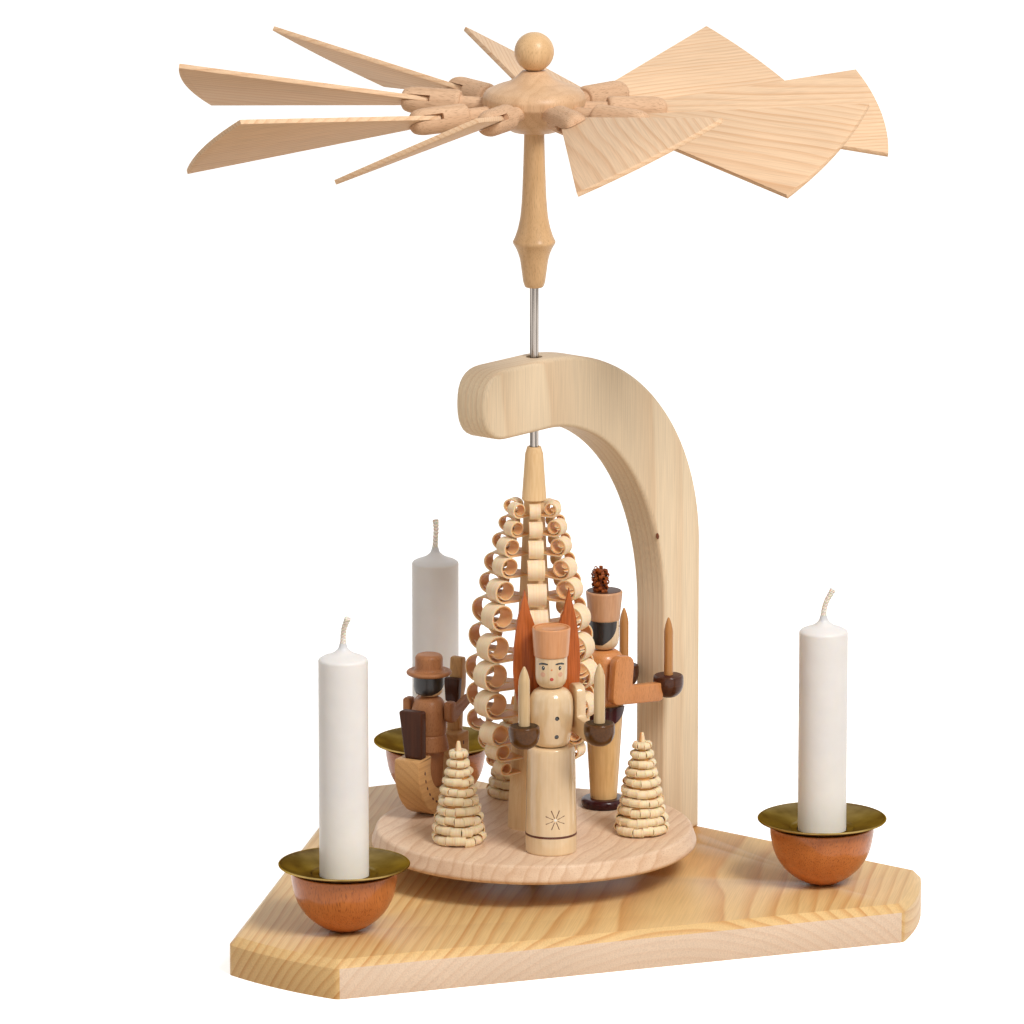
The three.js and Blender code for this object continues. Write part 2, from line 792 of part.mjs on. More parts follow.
function candleWithWick(length) {
  const top = candleBottomHeight + length;
  const body = turned([
    [0, candleBottomHeight],
    [candleRadius, candleBottomHeight],
    [candleRadius, top - candleConeHeight],
    [candleRadius * 0.8, top - candleConeHeight * 0.62],
    [candleConeRadius, top],
    [0, top],
  ], midSides);
  const curve = new THREE.CatmullRomCurve3([
    new THREE.Vector3(0, 0, top - candleConeHeight / 2),
    new THREE.Vector3(0, 0, top + wickLength * 0.3),
    new THREE.Vector3(wickBend * 0.5, 0, top + wickLength * 0.65),
    new THREE.Vector3(wickBend, wickBend * 0.3, top + wickLength),
  ]);
  const section = new THREE.Shape();
  section.absarc(0, 0, wickRadius, 0, 2 * Math.PI, false);
  const wick = new THREE.ExtrudeGeometry(section, { steps: 4, curveSegments: 3, extrudePath: curve });
  return joined(body, wick);
}

holderAzimuths.forEach((azimuth, k) => {
  const place = new THREE.Group();
  place.position.set(...polar(holderCircleRadius, azimuth), 0);
  onBase.add(place);
  addPiece(`candle_bowl_${k + 1}`, candleBowl(), wood.bowlBeech, place);
  addPiece(`drip_pan_${k + 1}`, dripPan(), brass, place);
  addPiece(`candle_${k + 1}`, candleWithWick(candleLengths[k]), wax, place);
});

// Figures: each stands in a group on the plate that faces along its local +X
function figureGroup({ inset, azimuthDegrees }, facingDegrees) {
  const group = new THREE.Group();
  group.position.set(...polar(plateRadius - inset, azimuthDegrees), plateTop);
  group.rotation.z = radians(facingDegrees);
  carousel.add(group);
  return group;
}

// A bent arm, cut from a board, with a turned bowl and a little wooden candle glued to its hand
function armWithLight(side, armBottom, bodyRadius, splayDegrees, tiltDegrees) {
  const top = armBottom + armHeight;
  const wrist = armBottom + forearmHeight;
  const shape = new THREE.Shape();
  shape.moveTo(armRound - armBack, armBottom);
  shape.lineTo(forearmReach, armBottom);
  shape.lineTo(forearmReach, wrist);
  shape.lineTo(armFront, wrist);
  shape.lineTo(armFront, top - armRound);
  shape.quadraticCurveTo(armFront, top, armFront - armRound, top);
  shape.lineTo(armRound - armBack, top);
  shape.quadraticCurveTo(-armBack, top, -armBack, top - armRound);
  shape.lineTo(-armBack, armBottom + armRound);
  shape.quadraticCurveTo(-armBack, armBottom, armRound - armBack, armBottom);
  const arm = upright(board(shape, armThickness, { curveSteps: 2 }), alongX, againstY);
  const hand = armBottom + forearmHeight / 2;
  arm.translate(-lightReach, 0, -hand);
  arm.rotateY(radians(tiltDegrees));
  arm.translate(lightReach, 0, hand);
  const bowlBottom = armBottom + lightBowlRise;
  const bowlTop = bowlBottom + lightBowlHeight;
  const candleTop = bowlTop + lightCandleHeight;
  const light = turned([
    [0, bowlBottom],
    [lightBowlRadius * 0.6, bowlBottom],
    [lightBowlRadius, bowlBottom + lightBowlHeight * 0.5],
    [lightBowlRadius * 0.9, bowlTop],
    [lightCandleRadius, bowlTop],
    [lightCandleRadius, candleTop - lightPointHeight],
    [0, candleTop],
  ], lightSides);
  light.translate(lightReach, 0, 0);
  const whole = joined(arm, light);
  whole.rotateZ(side * radians(splayDegrees));
  whole.translate(0, side * (bodyRadius + seatGap + armThickness / 2), 0);
  return whole;
}

function armPair(name, measures, material, group) {
  addPiece(`${name}_arm_left`, armWithLight(1, ...measures), material, group);
  addPiece(`${name}_arm_right`, armWithLight(-1, ...measures), material, group);
}

// Angel
const angel = figureGroup(angelPlace, angelPlace.azimuthDegrees);
const skirtShares = [
  [0.97, 0],
  [1, 0.03],
  [0.93, 0.96],
  [0.88, 1],
];
const torsoShares = [
  [0.72, 0],
  [0.84, 0.05],
  [0.94, 0.3],
  [1, 0.66],
  [0.95, 0.84],
  [0.8, 0.95],
  [0.55, 1],
];
addPiece('angel_body', turned([
  [0, 0],
  ...scaledProfile(skirtShares, angelSkirtRadius, angelSkirtHeight),
  ...scaledProfile(torsoShares, angelTorsoRadius, angelTorsoHeight, angelSkirtHeight + seatGap),
  [0, angelSkirtHeight + seatGap + angelTorsoHeight],
], midSides), wood.angelWood, angel);

const headShares = [
  [0.45, 0],
  [0.8, 0.1],
  [0.96, 0.26],
  [1, 0.5],
  [1, 1],
];
const angelNeck = angelSkirtHeight + seatGap + angelTorsoHeight;
function headGeometry(radius, height, bottom) {
  return turned([
    [0, bottom],
    ...scaledProfile(headShares, radius, height, bottom),
    [0, bottom + height],
  ], midSides);
}
addPiece('angel_head', headGeometry(angelHeadRadius, angelHeadHeight, angelNeck), wood.angelWood, angel);

const crownBottom = angelNeck + angelHeadHeight;
addPiece('angel_crown', turned([
  [0, crownBottom],
  [angelCrownRadius * 0.9, crownBottom],
  [angelCrownRadius, crownBottom + angelCrownHeight * 0.94],
  [angelCrownRadius * 0.96, crownBottom + angelCrownHeight],
  [0, crownBottom + angelCrownHeight],
], midSides), wood.peach, angel);

// Both wings are one board behind the shoulders; the outline is given as shares of half width and height
const wingShares = [
  [0.5, 0],
  [0.86, 0.18],
  [1, 0.42],
  [0.97, 0.62],
  [0.85, 0.82],
  [0.66, 1],
  [0.5, 0.84],
  [0.32, 0.72],
  [0.12, 0.64],
];
function wingShape() {
  const right = wingShares.map(([w, h]) => [w * wingHalfWidth, wingBottom + h * wingHeight]);
  const left = right.map(([w, h]) => [-w, h]).reverse();
  const shape = new THREE.Shape();
  shape.setFromPoints([...right, ...left].map(([w, h]) => new THREE.Vector2(w, h)));
  return shape;
}
const wings = upright(board(wingShape(), wingThickness), alongY, alongX);
wings.translate(-angelTorsoRadius - seatGap - wingThickness / 2, 0, 0);
addPiece('angel_wings', geometryOf(solidOf(wings)), wood.wing, angel);
armPair('angel', [angelArmBottom, angelTorsoRadius, angelSplayDegrees, 0], wood.angelWood, angel);

// Miner
const miner = figureGroup(minerPlace, minerPlace.azimuthDegrees + minerTurnDegrees);
const minerLegTop = minerStandHeight + minerLegHeight;
const minerTorsoShares = [
  [0.97, 0],
  [1, 0.06],
  [0.98, 0.55],
  [0.92, 0.8],
  [0.76, 0.94],
  [0.5, 1],
];
addPiece('miner_body', turned([
  [0, 0],
  [minerStandRadius * 0.94, 0],
  [minerStandRadius, minerStandHeight * 0.3],
  [minerStandRadius, minerStandHeight * 0.7],
  [minerStandRadius * 0.9, minerStandHeight],
  [minerLegBottomRadius, minerStandHeight],
  [minerLegTopRadius, minerLegTop],
  ...scaledProfile(minerTorsoShares, minerTorsoRadius, minerTorsoHeight, minerLegTop),
  [0, minerLegTop + minerTorsoHeight],
], midSides), wood.minerWood, miner);

const minerNeck = minerLegTop + minerTorsoHeight;
addPiece('miner_head', headGeometry(minerHeadRadius, minerHeadHeight, minerNeck), wood.angelWood, miner);

function minerHat() {
  const bottom = minerNeck + minerHeadHeight;
  const hat = turned([
    [0, bottom],
    [minerHatRadius * 0.84, bottom],
    [minerHatRadius, bottom + minerHatHeight * 0.95],
    [minerHatRadius * 0.97, bottom + minerHatHeight],
    [0, bottom + minerHatHeight],
  ], midSides);
  const plumeBottom = bottom + minerHatHeight - joinOver;
  const plume = turned([
    [0, plumeBottom],
    [plumeRadius * 0.8, plumeBottom],
    [plumeRadius, plumeBottom + plumeHeight * 0.4],
    [plumeRadius, plumeBottom + plumeHeight * 0.8],
    [plumeRadius * 0.8, plumeBottom + plumeHeight],
    [0, plumeBottom + plumeHeight],
  ], smallSides);
  plume.translate(-plumeOffset, 0, 0);
  return joined(hat, plume);
}
addPiece('miner_hat', minerHat(), wood.hatWood, miner);
const minerArm = [minerArmBottom, minerTorsoRadius, minerSplayDegrees, minerArmTiltDegrees];
armPair('miner', minerArm, wood.minerWood, miner);

// The leather apron hangs over the miner's seat, as an open ring round the hips
function minerApron() {
  const hip = minerLegTopRadius + seatGap;
  const top = minerLegTop - seatGap;
  const bottom = top - apronHeight;
  const ring = turned([
    [hip, bottom],
    [apronRadius * 0.86, bottom],
    [apronRadius, bottom + apronHeight * 0.4],
    [apronRadius, top],
    [hip, top],
    [hip, bottom],
  ], midSides);
  const front = new THREE.BoxGeometry(2 * apronRadius, 4 * apronRadius, 4 * apronHeight);
  front.translate(apronRadius * (1 + apronFrontShare), 0, bottom);
  const cornerRadius = apronRadius * apronCornerShare;
  const corners = new THREE.CylinderGeometry(cornerRadius, cornerRadius, 4 * apronRadius, fineSides);
  corners.rotateZ(Math.PI / 2);
  corners.translate(0, 0, top);
  return geometryOf(solidOf(ring).subtract(solidOf(front)).intersect(solidOf(corners)));
}
addPiece('miner_apron', minerApron(), wood.leather, miner);

// Rocking horse
const horse = figureGroup(horsePlace, horseHeadingDegrees);
const rockerInner = rockerRadius - rockerWall;

function rockerShape() {
  const centre = rockerRadius;
  const rear = Math.asin((rockerRearHeight - centre) / rockerRadius);
  const rearInner = Math.asin((rockerRearHeight - centre) / rockerInner);
  const shape = new THREE.Shape();
  shape.moveTo(-rockerRadius * Math.cos(rear), rockerRearHeight);
  shape.absarc(0, centre, rockerRadius, Math.PI - rear, 2 * Math.PI, false);
  shape.lineTo(rockerRadius, rockerFrontHeight);
  shape.lineTo(rockerInner, rockerFrontHeight);
  shape.lineTo(rockerInner, centre);
  shape.absarc(0, centre, rockerInner, 2 * Math.PI, Math.PI - rearInner, true);
  shape.closePath();
  return shape;
}

const horseHeadShares = [
  [0, 0],
  [0.51, 0],
  [0.7, 0.48],
  [0.96, 0.61],
  [1, 0.8],
  [0.94, 1],
  [0.42, 1],
  [0.32, 0.74],
  [0, 0.48],
];

// The thick rocker carries a thinner board for the neck and head, with the mane as a block behind it
function rockingHorse() {
  const rocker = upright(board(rockerShape(), horseThickness, { curveSteps: 9 }), alongX, againstY);
  const points = horseHeadShares.map(([x, z]) => new THREE.Vector2(horseHeadReach * x, horseHeadHeight * z));
  const neck = upright(board(new THREE.Shape(points), horseHeadThickness), alongX, againstY);
  const mane = new THREE.BoxGeometry(maneDepth, maneWidth, maneHeight);
  mane.translate(maneDepth * 0.12, 0, horseHeadHeight * 0.6);
  const head = geometryOf(solidOf(neck).add(solidOf(mane)));
  head.translate(rockerRadius - horseHeadInset, 0, rockerFrontHeight - horseHeadSink);
  return joined(rocker, head);
}
addPiece('rocking_horse', rockingHorse(), wood.horseWood, horse);

function tailGeometry() {
  const shape = new THREE.Shape();
  shape.moveTo(-tailTopWidth / 2, 0);
  shape.lineTo(tailFootWidth - tailTopWidth / 2, 0);
  shape.lineTo(tailTopWidth / 2, tailHeight);
  shape.lineTo(-tailTopWidth / 2, tailHeight);
  shape.closePath();
  const tail = upright(board(shape, tailThickness), alongY, alongX);
  tail.translate(-(rockerRadius + rockerInner) / 2, 0, rockerRearHeight);
  return tail;
}
addPiece('horse_tail', tailGeometry(), wood.darkWood, horse);

// Rider: jacket, trousers and legs that straddle the rocker
const riderShoulder = riderHipHeight + riderJacketHeight + riderTorsoHeight;
function riderBody() {
  const torso = turned([
    [0, riderHipHeight],
    [riderHipRadius, riderHipHeight],
    [riderHipRadius * 0.86, riderHipHeight + riderJacketHeight],
    [riderTorsoRadius * 0.96, riderHipHeight + riderJacketHeight],
    [riderTorsoRadius, riderHipHeight + riderJacketHeight + riderTorsoHeight * 0.3],
    [riderTorsoRadius * 0.96, riderShoulder - riderTorsoHeight * 0.22],
    [riderTorsoRadius * 0.7, riderShoulder - riderTorsoHeight * 0.04],
    [riderTorsoRadius * 0.4, riderShoulder],
    [0, riderShoulder],
  ], midSides);
  torso.translate(-riderSetback, 0, 0);
  const seat = rockerInner - seatGap;
  const from = 1.5 * Math.PI - Math.asin((riderSetback + riderHipRadius * 0.6) / seat);
  const to = 1.5 * Math.PI + Math.asin((riderHipRadius * 0.6 - riderSetback) / seat);
  const shape = new THREE.Shape();
  shape.moveTo(-riderSetback - riderHipRadius * 0.9, riderHipHeight + joinOver);
  shape.lineTo(seat * Math.cos(from), rockerRadius + seat * Math.sin(from));
  shape.absarc(0, rockerRadius, seat, from, to, false);
  shape.lineTo(riderHipRadius * 0.9 - riderSetback, riderHipHeight + joinOver);
  shape.closePath();
  const legs = upright(board(shape, riderLegThickness, { curveSteps: 4 }), alongX, againstY);
  return joined(torso, legs);
}
addPiece('rider_body', riderBody(), wood.riderWood, horse);

function riderHead() {
  const bottom = riderShoulder;
  const brim = bottom + riderHeadHeight;
  const crown = brim + brimThickness;
  const head = turned([
    [0, bottom],
    ...scaledProfile(headShares, riderHeadRadius, riderHeadHeight, bottom),
    [brimRadius * 0.94, brim],
    [brimRadius, brim + brimThickness / 2],
    [brimRadius * 0.94, crown],
    [hatCrownRadius, crown],
    [hatCrownRadius * 0.99, crown + hatCrownHeight * 0.8],
    [hatCrownRadius * 0.76, crown + hatCrownHeight],
    [0, crown + hatCrownHeight],
  ], midSides);
  head.translate(-riderSetback, 0, 0);
  return head;
}
addPiece('rider_head', riderHead(), wood.riderWood, horse);

function riderArm(side) {
  const shoulder = riderShoulder - riderTorsoRadius * 0.2;
  const elbow = shoulder - riderArmWidth * 1.7;
  const shape = new THREE.Shape();
  shape.moveTo(-riderSetback - riderArmWidth / 2, shoulder);
  shape.lineTo(-riderSetback - riderArmWidth / 2, elbow + riderArmWidth * 0.3);
  shape.lineTo(-riderSetback, elbow);
  shape.lineTo(-riderSetback + riderArmWidth / 2, elbow);
  shape.lineTo(riderArmReach - riderSetback, shoulder - riderArmWidth * 0.6);
  shape.lineTo(riderArmReach - riderSetback - riderArmWidth * 0.3, shoulder);
  shape.lineTo(-riderSetback + riderArmWidth / 2, shoulder - riderArmWidth * 0.6);
  shape.lineTo(-riderSetback + riderArmWidth / 2, shoulder);
  shape.closePath();
  const arm = upright(board(shape, riderArmThickness), alongX, againstY);
  arm.translate(0, side * (riderTorsoRadius + seatGap + riderArmThickness / 2), 0);
  return geometryOf(solidOf(arm));
}
addPiece('rider_arm_left', riderArm(1), wood.riderWood, horse);
addPiece('rider_arm_right', riderArm(-1), wood.riderWood, horse);

// Small ringlet trees
function smallTree() {
  const profile = [[0, 0], [smallTreeRadius * 0.9, 0]];
  const tierHeight = (smallTreeHeight - smallTreeTipHeight) / smallTreeTiers;
  for (let k = 0; k < smallTreeTiers; k += 1) {
    const radius = smallTreeRadius * (1 - (1 - smallTreeTopShare) * (k / (smallTreeTiers - 1)) ** 1.15);
    const bottom = k * tierHeight;
    profile.push([radius, bottom + tierHeight * 0.3]);
    profile.push([radius * smallTreeGrooveShare, bottom + tierHeight]);
  }
  const tip = smallTreeHeight - smallTreeTipHeight;
  profile.push([smallTreeTipRadius, tip], [smallTreeTipRadius * 0.8, smallTreeHeight], [0, smallTreeHeight]);
  return turned(profile, stemSides);
}
smallTreeInsets.forEach((inset, k) => {
  const tree = addPiece(`small_tree_${k + 1}`, smallTree(), wood.shaving, carousel);
  tree.position.set(...polar(plateRadius - inset, smallTreeAzimuthDegrees[k]), plateTop);
});

export default pyramid;
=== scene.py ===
import math

import bmesh
import bpy
import numpy as np
from mathutils import Matrix, Vector


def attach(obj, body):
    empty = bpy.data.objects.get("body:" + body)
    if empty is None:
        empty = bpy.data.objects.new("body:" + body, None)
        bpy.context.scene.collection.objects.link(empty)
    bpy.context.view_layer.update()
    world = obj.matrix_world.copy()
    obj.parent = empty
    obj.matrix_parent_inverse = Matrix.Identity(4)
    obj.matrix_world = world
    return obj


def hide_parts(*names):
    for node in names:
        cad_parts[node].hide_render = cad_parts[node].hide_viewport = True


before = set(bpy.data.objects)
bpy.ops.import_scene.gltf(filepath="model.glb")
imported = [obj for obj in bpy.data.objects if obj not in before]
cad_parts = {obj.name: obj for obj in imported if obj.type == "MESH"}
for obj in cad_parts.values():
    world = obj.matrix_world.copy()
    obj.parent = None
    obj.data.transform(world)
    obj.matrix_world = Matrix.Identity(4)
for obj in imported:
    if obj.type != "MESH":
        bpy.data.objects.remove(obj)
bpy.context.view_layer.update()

bl_info = {
    "name": "Christmas pyramid",
    "version": (1, 0, 0),
    "blender": (4, 5, 0),
    "location": "3D View > Sidebar > Pyramid",
    "description": "Finishes the packed christmas pyramid: sawn, turned and curled wood, brass, wax and steel",
    "category": "Object",
}

# Lengths are in millimetres and angles in degrees, up to the stage's
MM = 0.001
BASE_TOP = 11.0
BASE_GRAIN = 120.0
BASE_SIDES_ACROSS = (-30.0, 90.0)
ARCH_INSIDE = 53.7
ARCH_OUTSIDE = 70.4
ARCH_TOP = 151.9
ARCH_UNDER = 131.4
ARCH_NOSE = -28.4
ARCH_HALF_THICKNESS = 5.65
PLATE_TOP = 24.6
PLATE_THICKNESS = 5.6
HOLDER_RING = 84.0
HOLDER_AZIMUTHS = (-90.0, 30.0, 150.0)
CANDLE_FOOT = 4.8
CANDLE_HEIGHTS = (76.2, 72.4, 71.8)
CANDLE_RADIUS = 6.98
HUB_FOOT = 228.1
HANDLE_LENGTH = 45.0
BALL_RADIUS = 5.65
ROTOR_HEIGHT = 234.7
BLADE_COUNT = 9
BLADE_REACH = 101.4
BLADE_HALF_WIDTH = 22.9
BLADE_ROOT = 30.0
BLADE_ROOT_HALF_WIDTH = 2.3
BLADE_PHASE = 47.6
BLADE_PITCH = 25.5
BLADE_TWISTS = (-3, 0, 2.5, 1.5, -3, 1, -0.4, -2, 0.5)
BLADE_TURNS = (3.4, 0, 2.1, -0.6, 1, -3, 1.2, 0.5, -2.6)
BLADE_DROOPS = (2.6, 0, 1.7, -1.5, -2.2, 2.4, -1.8, -1, 1.6)
CURL_SIZES = (4.63, 5.16, 5.79, 6.41, 7.12, 8.19, 8.72, 8.9, 8.37, 6.76, 5.52, 4.27)
CURL_REACHES = (8.15, 9.7, 11.45, 13.0, 14.74, 16.88, 18.43, 19.4, 19.01, 17.46, 15.13, 12.8)
CURL_WIDTHS = (3.2, 3.9, 4.4, 5.0, 5.4, 5.7, 6.0, 6.2, 6.2, 6.0, 5.5, 5.0)
CURL_TOP = 118.7
TREE_TOP = 136.7
CARVED_TOP = 121.3
CARVED_FOOT = 36.2
TRUNK_FOOT_RADIUS = 7.7
TRUNK_TOP_RADIUS = 2.1
ROD_HOLE = 1.4
LONG_ROW = 193.5
SMALL_TREE_PLACES = ((28.7, -99.6), (32.2, 24.1), (36.0, 139.0))
# each figure's distance from the axis, its azimuth and the way it faces
ANGEL_PLACE = (28.8, -40.8, -40.8)
MINER_PLACE = (30.1, 86.9, 84.9)
RIDER_PLACE = (33.5, -167.8, 103)
ARM_REACH = 17.8
ROCKER_OUTSIDE = 16
ROCKER_INSIDE = 8.4
# the stage is in metres: the camera's place and turn, the lamps and the floor's rings
CAMERA_PLACE = (1.3575793, -1.6491811, 0.5819374)
CAMERA_TURN = (77.73188398, 0.02320407, 39.62583971)
LAMP_AIM = (0.0, 0.0, 0.12)
KEY_PLACE = (1.29, -0.37, 1.46)
FILL_PLACE = (-0.9, -1.5, 0.7)
FLOOR_RINGS = (0.2, 0.6, 1.6, 4.0)


def linear(code, alpha=1.0):
    """An sRGB hex colour as the linear values that Blender's sockets take."""
    shares = [int(code[k : k + 2], 16) / 255 for k in (1, 3, 5)]
    return (*(s / 12.92 if s <= 0.04045 else ((s + 0.055) / 1.055) ** 2.4 for s in shares), alpha)


# Settings


class PyramidWoodSettings(bpy.types.PropertyGroup):
    pine: bpy.props.FloatVectorProperty(
        name="Pine",
        description="Early wood of the base board",
        subtype="COLOR",
        size=3,
        default=linear("#E8C388")[:3],
    )
    pine_line: bpy.props.FloatVectorProperty(
        name="Pine line",
        description="Late wood of the base board",
        subtype="COLOR",
        size=3,
        default=linear("#C98A48")[:3],
    )
    pine_ring: bpy.props.FloatProperty(
        name="Pine ring", description="Width of one annual ring of the base board", unit="LENGTH", default=0.0024
    )
    shaving: bpy.props.FloatVectorProperty(
        name="Shaving",
        description="Lime wood of the curled tree",
        subtype="COLOR",
        size=3,
        default=linear("#F6E2C2")[:3],
    )
    bowl: bpy.props.FloatVectorProperty(
        name="Bowl",
        description="Stained beech of the candle bowls",
        subtype="COLOR",
        size=3,
        default=linear("#C97A3E")[:3],
    )


class PyramidTreeSettings(bpy.types.PropertyGroup):
    rows: bpy.props.IntProperty(name="Rows", description="Rows of curls round the trunk", default=6)
    turn: bpy.props.FloatProperty(
        name="Turn", description="Azimuth of the first row", subtype="ANGLE", default=math.radians(-46.5)
    )
    sweep: bpy.props.FloatProperty(
        name="Curl sweep",
        description="How far a shaving winds into its curl",
        subtype="ANGLE",
        default=math.radians(425),
    )
    thickness: bpy.props.FloatProperty(
        name="Shaving thickness", description="Thickness at the root", unit="LENGTH", default=0.00055
    )
    scatter: bpy.props.FloatProperty(
        name="Scatter", description="Unevenness of the hand-cut curls", subtype="ANGLE", default=math.radians(2.2)
    )
    seed: bpy.props.IntProperty(name="Seed", description="Seed of the unevenness", default=4)
    ringlets: bpy.props.IntProperty(name="Ringlets", description="Ringlets on a small tree's lowest tier", default=16)
    tiers: bpy.props.IntProperty(name="Tiers", description="Tiers of a small tree", default=10)


class PyramidStageSettings(bpy.types.PropertyGroup):
    key: bpy.props.FloatProperty(name="Key", description="Power of the large lamp", unit="POWER", default=29.0)
    fill: bpy.props.FloatProperty(name="Fill", description="Power of the fill lamp", unit="POWER", default=2.0)
    sky: bpy.props.FloatProperty(name="Sky", description="Strength of the even light", default=0.46)
    lens: bpy.props.FloatProperty(
        name="Lens", description="Focal length of the camera", subtype="DISTANCE_CAMERA", default=267.66451
    )


# Finishes


def node(tree, kind, inputs=None, **settings):
    """Adds a node, sets its options, and sets or links its inputs."""
    made = tree.nodes.new(kind)
    for key, value in settings.items():
        setattr(made, key, value)
    for key, value in (inputs or {}).items():
        if isinstance(value, bpy.types.NodeSocket):
            tree.links.new(value, made.inputs[key])
        else:
            made.inputs[key].default_value = value
    return made


def blank(name, **shader):
    """A material with one Principled shader, whose constants are set on its own sockets."""
    made = bpy.data.materials.new(name)
    made.use_nodes = True
    tree = made.node_tree
    tree.nodes.clear()
    sockets = {key.replace("_", " "): value for key, value in shader.items()}
    principled = node(tree, "ShaderNodeBsdfPrincipled", sockets)
    node(tree, "ShaderNodeOutputMaterial", {"Surface": principled.outputs["BSDF"]})
    return made, tree, principled


def in_wood(tree, on_row=False):
    """Place in the raw wood in millimetres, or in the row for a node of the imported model."""
    if not on_row:
        return node(tree, "ShaderNodeAttribute", attribute_name="grain").outputs["Vector"]
    place = node(tree, "ShaderNodeTexCoord").outputs["Object"]
    return node(tree, "ShaderNodeVectorMath", {0: place, "Scale": 1000.0}, operation="SCALE").outputs["Vector"]


def stretched(tree, place, along, across, **noise):
    """Noise drawn out along the grain, which is X: sizes are periods per millimetre."""
    drawn = node(tree, "ShaderNodeVectorMath", {0: place, 1: (along, across, across)}, operation="MULTIPLY")
    inputs = {"Vector": drawn.outputs["Vector"], "Scale": 1.0}
    inputs.update({key.capitalize(): value for key, value in noise.items()})
    return node(tree, "ShaderNodeTexNoise", inputs).outputs["Fac"]


def clouds(tree, place, scale, detail):
    """Even noise; its scale is in periods for each unit of place."""
    return node(tree, "ShaderNodeTexNoise", {"Vector": place, "Scale": scale, "Detail": detail}).outputs["Fac"]


def ramp(tree, factor, stops):
    """A colour for each level of a pattern, from stops of position and colour."""
    made = node(tree, "ShaderNodeValToRGB", {"Fac": factor})
    elements = made.color_ramp.elements
    while len(elements) < len(stops):
        elements.new(0.5)
    for element, (position, colour) in zip(elements, stops):
        element.position = position
        element.color = colour
    return made.outputs["Color"]


def maths(tree, operation, *values):
    """The output of a math node on two or three values."""
    return node(tree, "ShaderNodeMath", dict(enumerate(values)), operation=operation).outputs["Value"]


def grey(level):
    return (level, level, level, 1.0)


def blended(tree, factor, first, second, blend="MIX"):
    """Mixes two colours; each value may be a socket."""
    made = node(tree, "ShaderNodeMix", data_type="RGBA", blend_type=blend)
    for socket, value in ((made.inputs[0], factor), (made.inputs[6], first), (made.inputs[7], second)):
        if isinstance(value, bpy.types.NodeSocket):
            tree.links.new(value, socket)
        else:
            socket.default_value = value
    return made.outputs[2]


def shaded(tree, colour, pattern, low, dark, high, share=1.0):
    """The colour, darker where the pattern is low."""
    return blended(tree, share, colour, ramp(tree, pattern, ((low, grey(dark)), (high, grey(1.0)))), "MULTIPLY")


def finished(tree, principled, colour, height, strength, distance):
    """Links the colour and a height, whose distance is in metres, to the shader."""
    tree.links.new(colour, principled.inputs["Base Color"])
    bumped(tree, principled.inputs["Normal"], height, strength, distance)


def bumped(tree, socket, height, strength, distance):
    """Lets a height move a shader's normal."""
    bump = node(tree, "ShaderNodeBump", {"Height": height, "Strength": strength, "Distance": distance})
    tree.links.new(bump.outputs["Normal"], socket)


def softwood(name, early, late, ring, pith, strength=0.85, turn=0.0, roughness=0.5, coat=0.0, wobble=1.0):
    """Sawn pine or spruce: pale early wood that darkens to a sharp orange late line in each annual ring."""
    made, tree, principled = blank(
        name, Roughness=roughness, Coat_Weight=coat, Coat_Roughness=0.25, Specular_IOR_Level=0.2
    )
    place = in_wood(tree)
    turned_place = node(
        tree, "ShaderNodeMapping", {"Vector": place, "Rotation": (turn, 0.0, 0.0), "Location": (0.0, pith[0], pith[1])}
    ).outputs["Vector"]
    # the trunk isn't straight: its rings wander by about a millimetre over some centimetres
    wander = stretched(tree, place, 0.012, 0.03, detail=2.0)
    split = node(tree, "ShaderNodeSeparateXYZ", {"Vector": turned_place})
    across = node(tree, "ShaderNodeCombineXYZ", {"X": 0.0, "Y": split.outputs["Y"], "Z": split.outputs["Z"]})
    reach = node(tree, "ShaderNodeVectorMath", {0: across.outputs["Vector"]}, operation="LENGTH").outputs["Value"]
    shifted = maths(tree, "MULTIPLY_ADD", wander, 14.0 * wobble, reach)
    rings = maths(tree, "DIVIDE", shifted, ring)
    year = maths(tree, "FLOOR", rings)
    season = maths(tree, "FRACT", rings)
    vigour = node(tree, "ShaderNodeTexWhiteNoise", {"W": year}, noise_dimensions="1D").outputs["Value"]
    line = ramp(
        tree,
        season,
        (
            (0.0, grey(0.5)),
            (0.07, grey(0.02)),
            (0.5, grey(0.1)),
            (0.82, grey(0.75)),
            (0.95, grey(1.0)),
            (1.0, grey(0.5)),
        ),
    )
    strong = node(
        tree, "ShaderNodeMapRange", {"Value": vigour, "To Min": 0.45 * strength, "To Max": strength}
    ).outputs["Result"]
    share = maths(tree, "MULTIPLY", line, strong)
    colour = blended(tree, share, linear(early), linear(late))
    # fibres about 0.15 mm across, drawn at 0.35 mm so that they show
    fibres = stretched(tree, place, 0.06, 2.8, detail=3.0)
    colour = shaded(tree, colour, fibres, 0.3, 0.8, 0.62, 0.7)
    cloud = stretched(tree, place, 0.02, 0.05, detail=2.0)
    colour = shaded(tree, colour, cloud, 0.35, 0.93, 0.65)
    height = maths(tree, "MULTIPLY_ADD", fibres, 0.25, share)
    finished(tree, principled, colour, height, 0.12, 0.0002)
    return made


